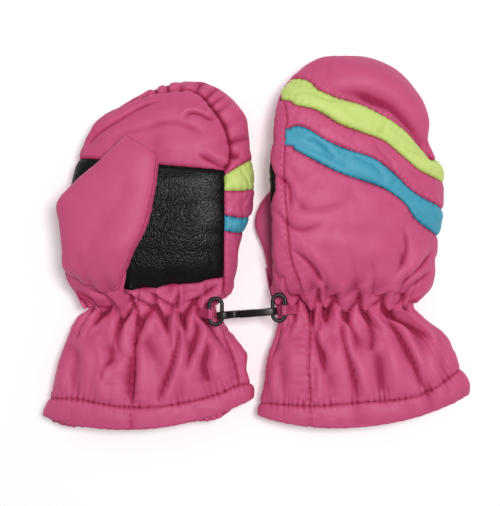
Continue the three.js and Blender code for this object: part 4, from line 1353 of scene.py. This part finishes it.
def stitch_mesh(name, caster, lines, radius, length, gap, up, material):
    """Short threads along lines seen from above, each lying in the fabric."""
    points, faces = [], []
    for line in lines:
        steps = np.linalg.norm(np.diff(line, axis=0), axis=1)
        place = np.concatenate([[0], np.cumsum(steps)])
        for k in range(int(place[-1] / (length + gap))):
            at = (k + 0.5) * (length + gap)
            ends = [[np.interp(at + step, place, line[:, axis]) for axis in (0, 1)] for step in (-0.4, 0.4)]
            (a, normal), (b, _) = [caster.hit(*end, up) for end in ends]
            if a is None or b is None or (b - a).length > LONGEST_STEP:
                continue
            along = (b - a).normalized()
            across = along.cross(normal).normalized()
            out = across.cross(along).normalized()
            if out.dot(normal) < 0:
                out = -out
            first = len(points)
            for share, fat, lift in STITCH_RINGS:
                middle = (a + b) / 2 + along * (share * length) + out * (lift * radius)
                for i in range(STITCH_SIDES):
                    turn = 2 * math.pi * i / STITCH_SIDES
                    points.append(middle + (across * math.cos(turn) + out * math.sin(turn)) * radius * fat)
            ring = np.arange(STITCH_SIDES)
            faces += (first + grid_faces(len(STITCH_RINGS), STITCH_SIDES)[:, [0, 3, 2, 1]]).tolist()
            faces.append((first + ring)[::-1].tolist())
            faces.append((first + (len(STITCH_RINGS) - 1) * STITCH_SIDES + ring).tolist())
    return mesh_object(name, [p * MM for p in points], faces, MATERIALS[material])


def beside(line, offset):
    """A line moved sideways, to its left where offset is positive."""
    d = np.gradient(line, axis=0)
    d = d / np.linalg.norm(d, axis=1, keepdims=True)
    return line + np.stack([-d[:, 1], d[:, 0]], 1) * offset


def trimmed(line, low_x, high_x, low_y=-200, high_y=200):
    keep = ((line[:, 0] > low_x) & (line[:, 0] < high_x) & (line[:, 1] > low_y) & (line[:, 1] < high_y))
    return line[keep]


# The stitches along each stripe's edge: how far inside the edge they lie, and where they start.
STRIPE_STITCHES = {"yellow_top": (1.0, -36), "yellow_bottom": (-1.0, -36), "blue_top": (1.0, -31),
                   "blue_bottom": (-1.0, -31)}


def build_stitches(side, caster):
    data = SIDES[side]
    back_up = not data["palm_up"]
    seams = {name: smooth_line(points, 12) for name, points in data["seams"].items()}
    hem = trimmed(seams["hem"], -60, 66)
    stripes = [trimmed(beside(seams[name], offset), low_x, 60)
               for name, (offset, low_x) in STRIPE_STITCHES.items()]
    side_seam = trimmed(smooth_line(SIDE_SEAM, 12), -60, 0, -60, 106)
    side_pair = [beside(side_seam, -0.9), beside(side_seam, 1.1)]
    centre = beside(trimmed(smooth_line(PALM_CENTRE_SEAM, 12), -60, 0, -61, 8), 0.9)
    # piece, lines, radius, length, gap, whether they are on top, thread, body or None for the wrist
    for name, lines, radius, length, gap, up, material, body in (
            ("hem_stitches_top", [hem], 0.26, 2.2, 0.9, True, "pink_thread", "cuff"),
            ("hem_stitches_under", [hem], 0.26, 2.2, 0.9, False, "pink_thread", "cuff"),
            ("stripe_stitches", stripes, 0.24, 1.7, 1.1, back_up, "red_thread", "hand"),
            ("side_stitches", side_pair, 0.22, 1.9, 1.2, back_up, "pink_thread", None),
            ("palm_centre_stitches", [centre], 0.26, 2.0, 1.3, not back_up, "pink_thread", None)):
        placed = [line + data["origin"][:2] for line in lines]
        piece = stitch_mesh(f"{side}_{name}", caster, placed, radius, length, gap, up, material)
        finish_piece(piece, f"{side}_{body}", (), None if body else wrist_bend_of(side))


# ---- everything ----
for side in SIDES:
    skin = mitten_skin(side)
    build_panels(side, skin)
    build_hem(side, skin)
    build_ruffle(side, skin)
    build_layers(side, skin)
    build_thumb(side)
    caster = Caster(side, skin)
    build_gusset(side, caster.height)
    build_stitches(side, caster)
    build_ring(side)
    build_tab(side, caster.height)
build_clip()

# ---- floor, light and camera ----
floor_mesh = bpy.data.meshes.new("floor")
floor_mesh.from_pydata([(-3, -3, 0), (3, -3, 0), (3, 3, 0), (-3, 3, 0)], [], [(0, 1, 2, 3)])
floor = linked(bpy.data.objects.new("floor", floor_mesh))
white = Nodes("white_floor")
white.shade(Base_Color=(0.96, 0.96, 0.96, 1), Roughness=0.9, Specular_IOR_Level=0.1,
            Emission_Color=(1, 1, 1, 1), Emission_Strength=0.2)
floor_mesh.materials.append(white.material)

world = bpy.data.worlds.new("studio")
bpy.context.scene.world = world
world.use_nodes = True
background = world.node_tree.nodes["Background"]
background.inputs["Color"].default_value = (1, 1, 1, 1)
background.inputs["Strength"].default_value = 0.3


def softbox(name, place, target, size, power):
    light = bpy.data.lights.new(name, "AREA")
    light.shape = "DISK"
    light.size = size
    light.energy = power
    lamp = linked(bpy.data.objects.new(name, light))
    lamp.location = place
    lamp.rotation_euler = (Vector(target) - Vector(place)).to_track_quat("-Z", "Y").to_euler()


softbox("key", (0.13, 0.07, 0.85), (0.02, 0, 0), 0.2, 4.5)
softbox("fill", (-0.6, 0.5, 0.8), (0, 0, 0), 0.6, 0.5)

# The photo looks straight down.
VIEW_CENTRE = (-0.0027, -0.0055)
VIEW_HEIGHT = 0.617
camera_data = bpy.data.cameras.new("camera")
camera_data.lens = 85
camera_data.sensor_width = 36
camera = linked(bpy.data.objects.new("camera", camera_data))
camera.location = (*VIEW_CENTRE, VIEW_HEIGHT)
bpy.context.scene.camera = camera
bpy.context.scene.view_settings.view_transform = "Standard"

bpy.context.view_layer.update()
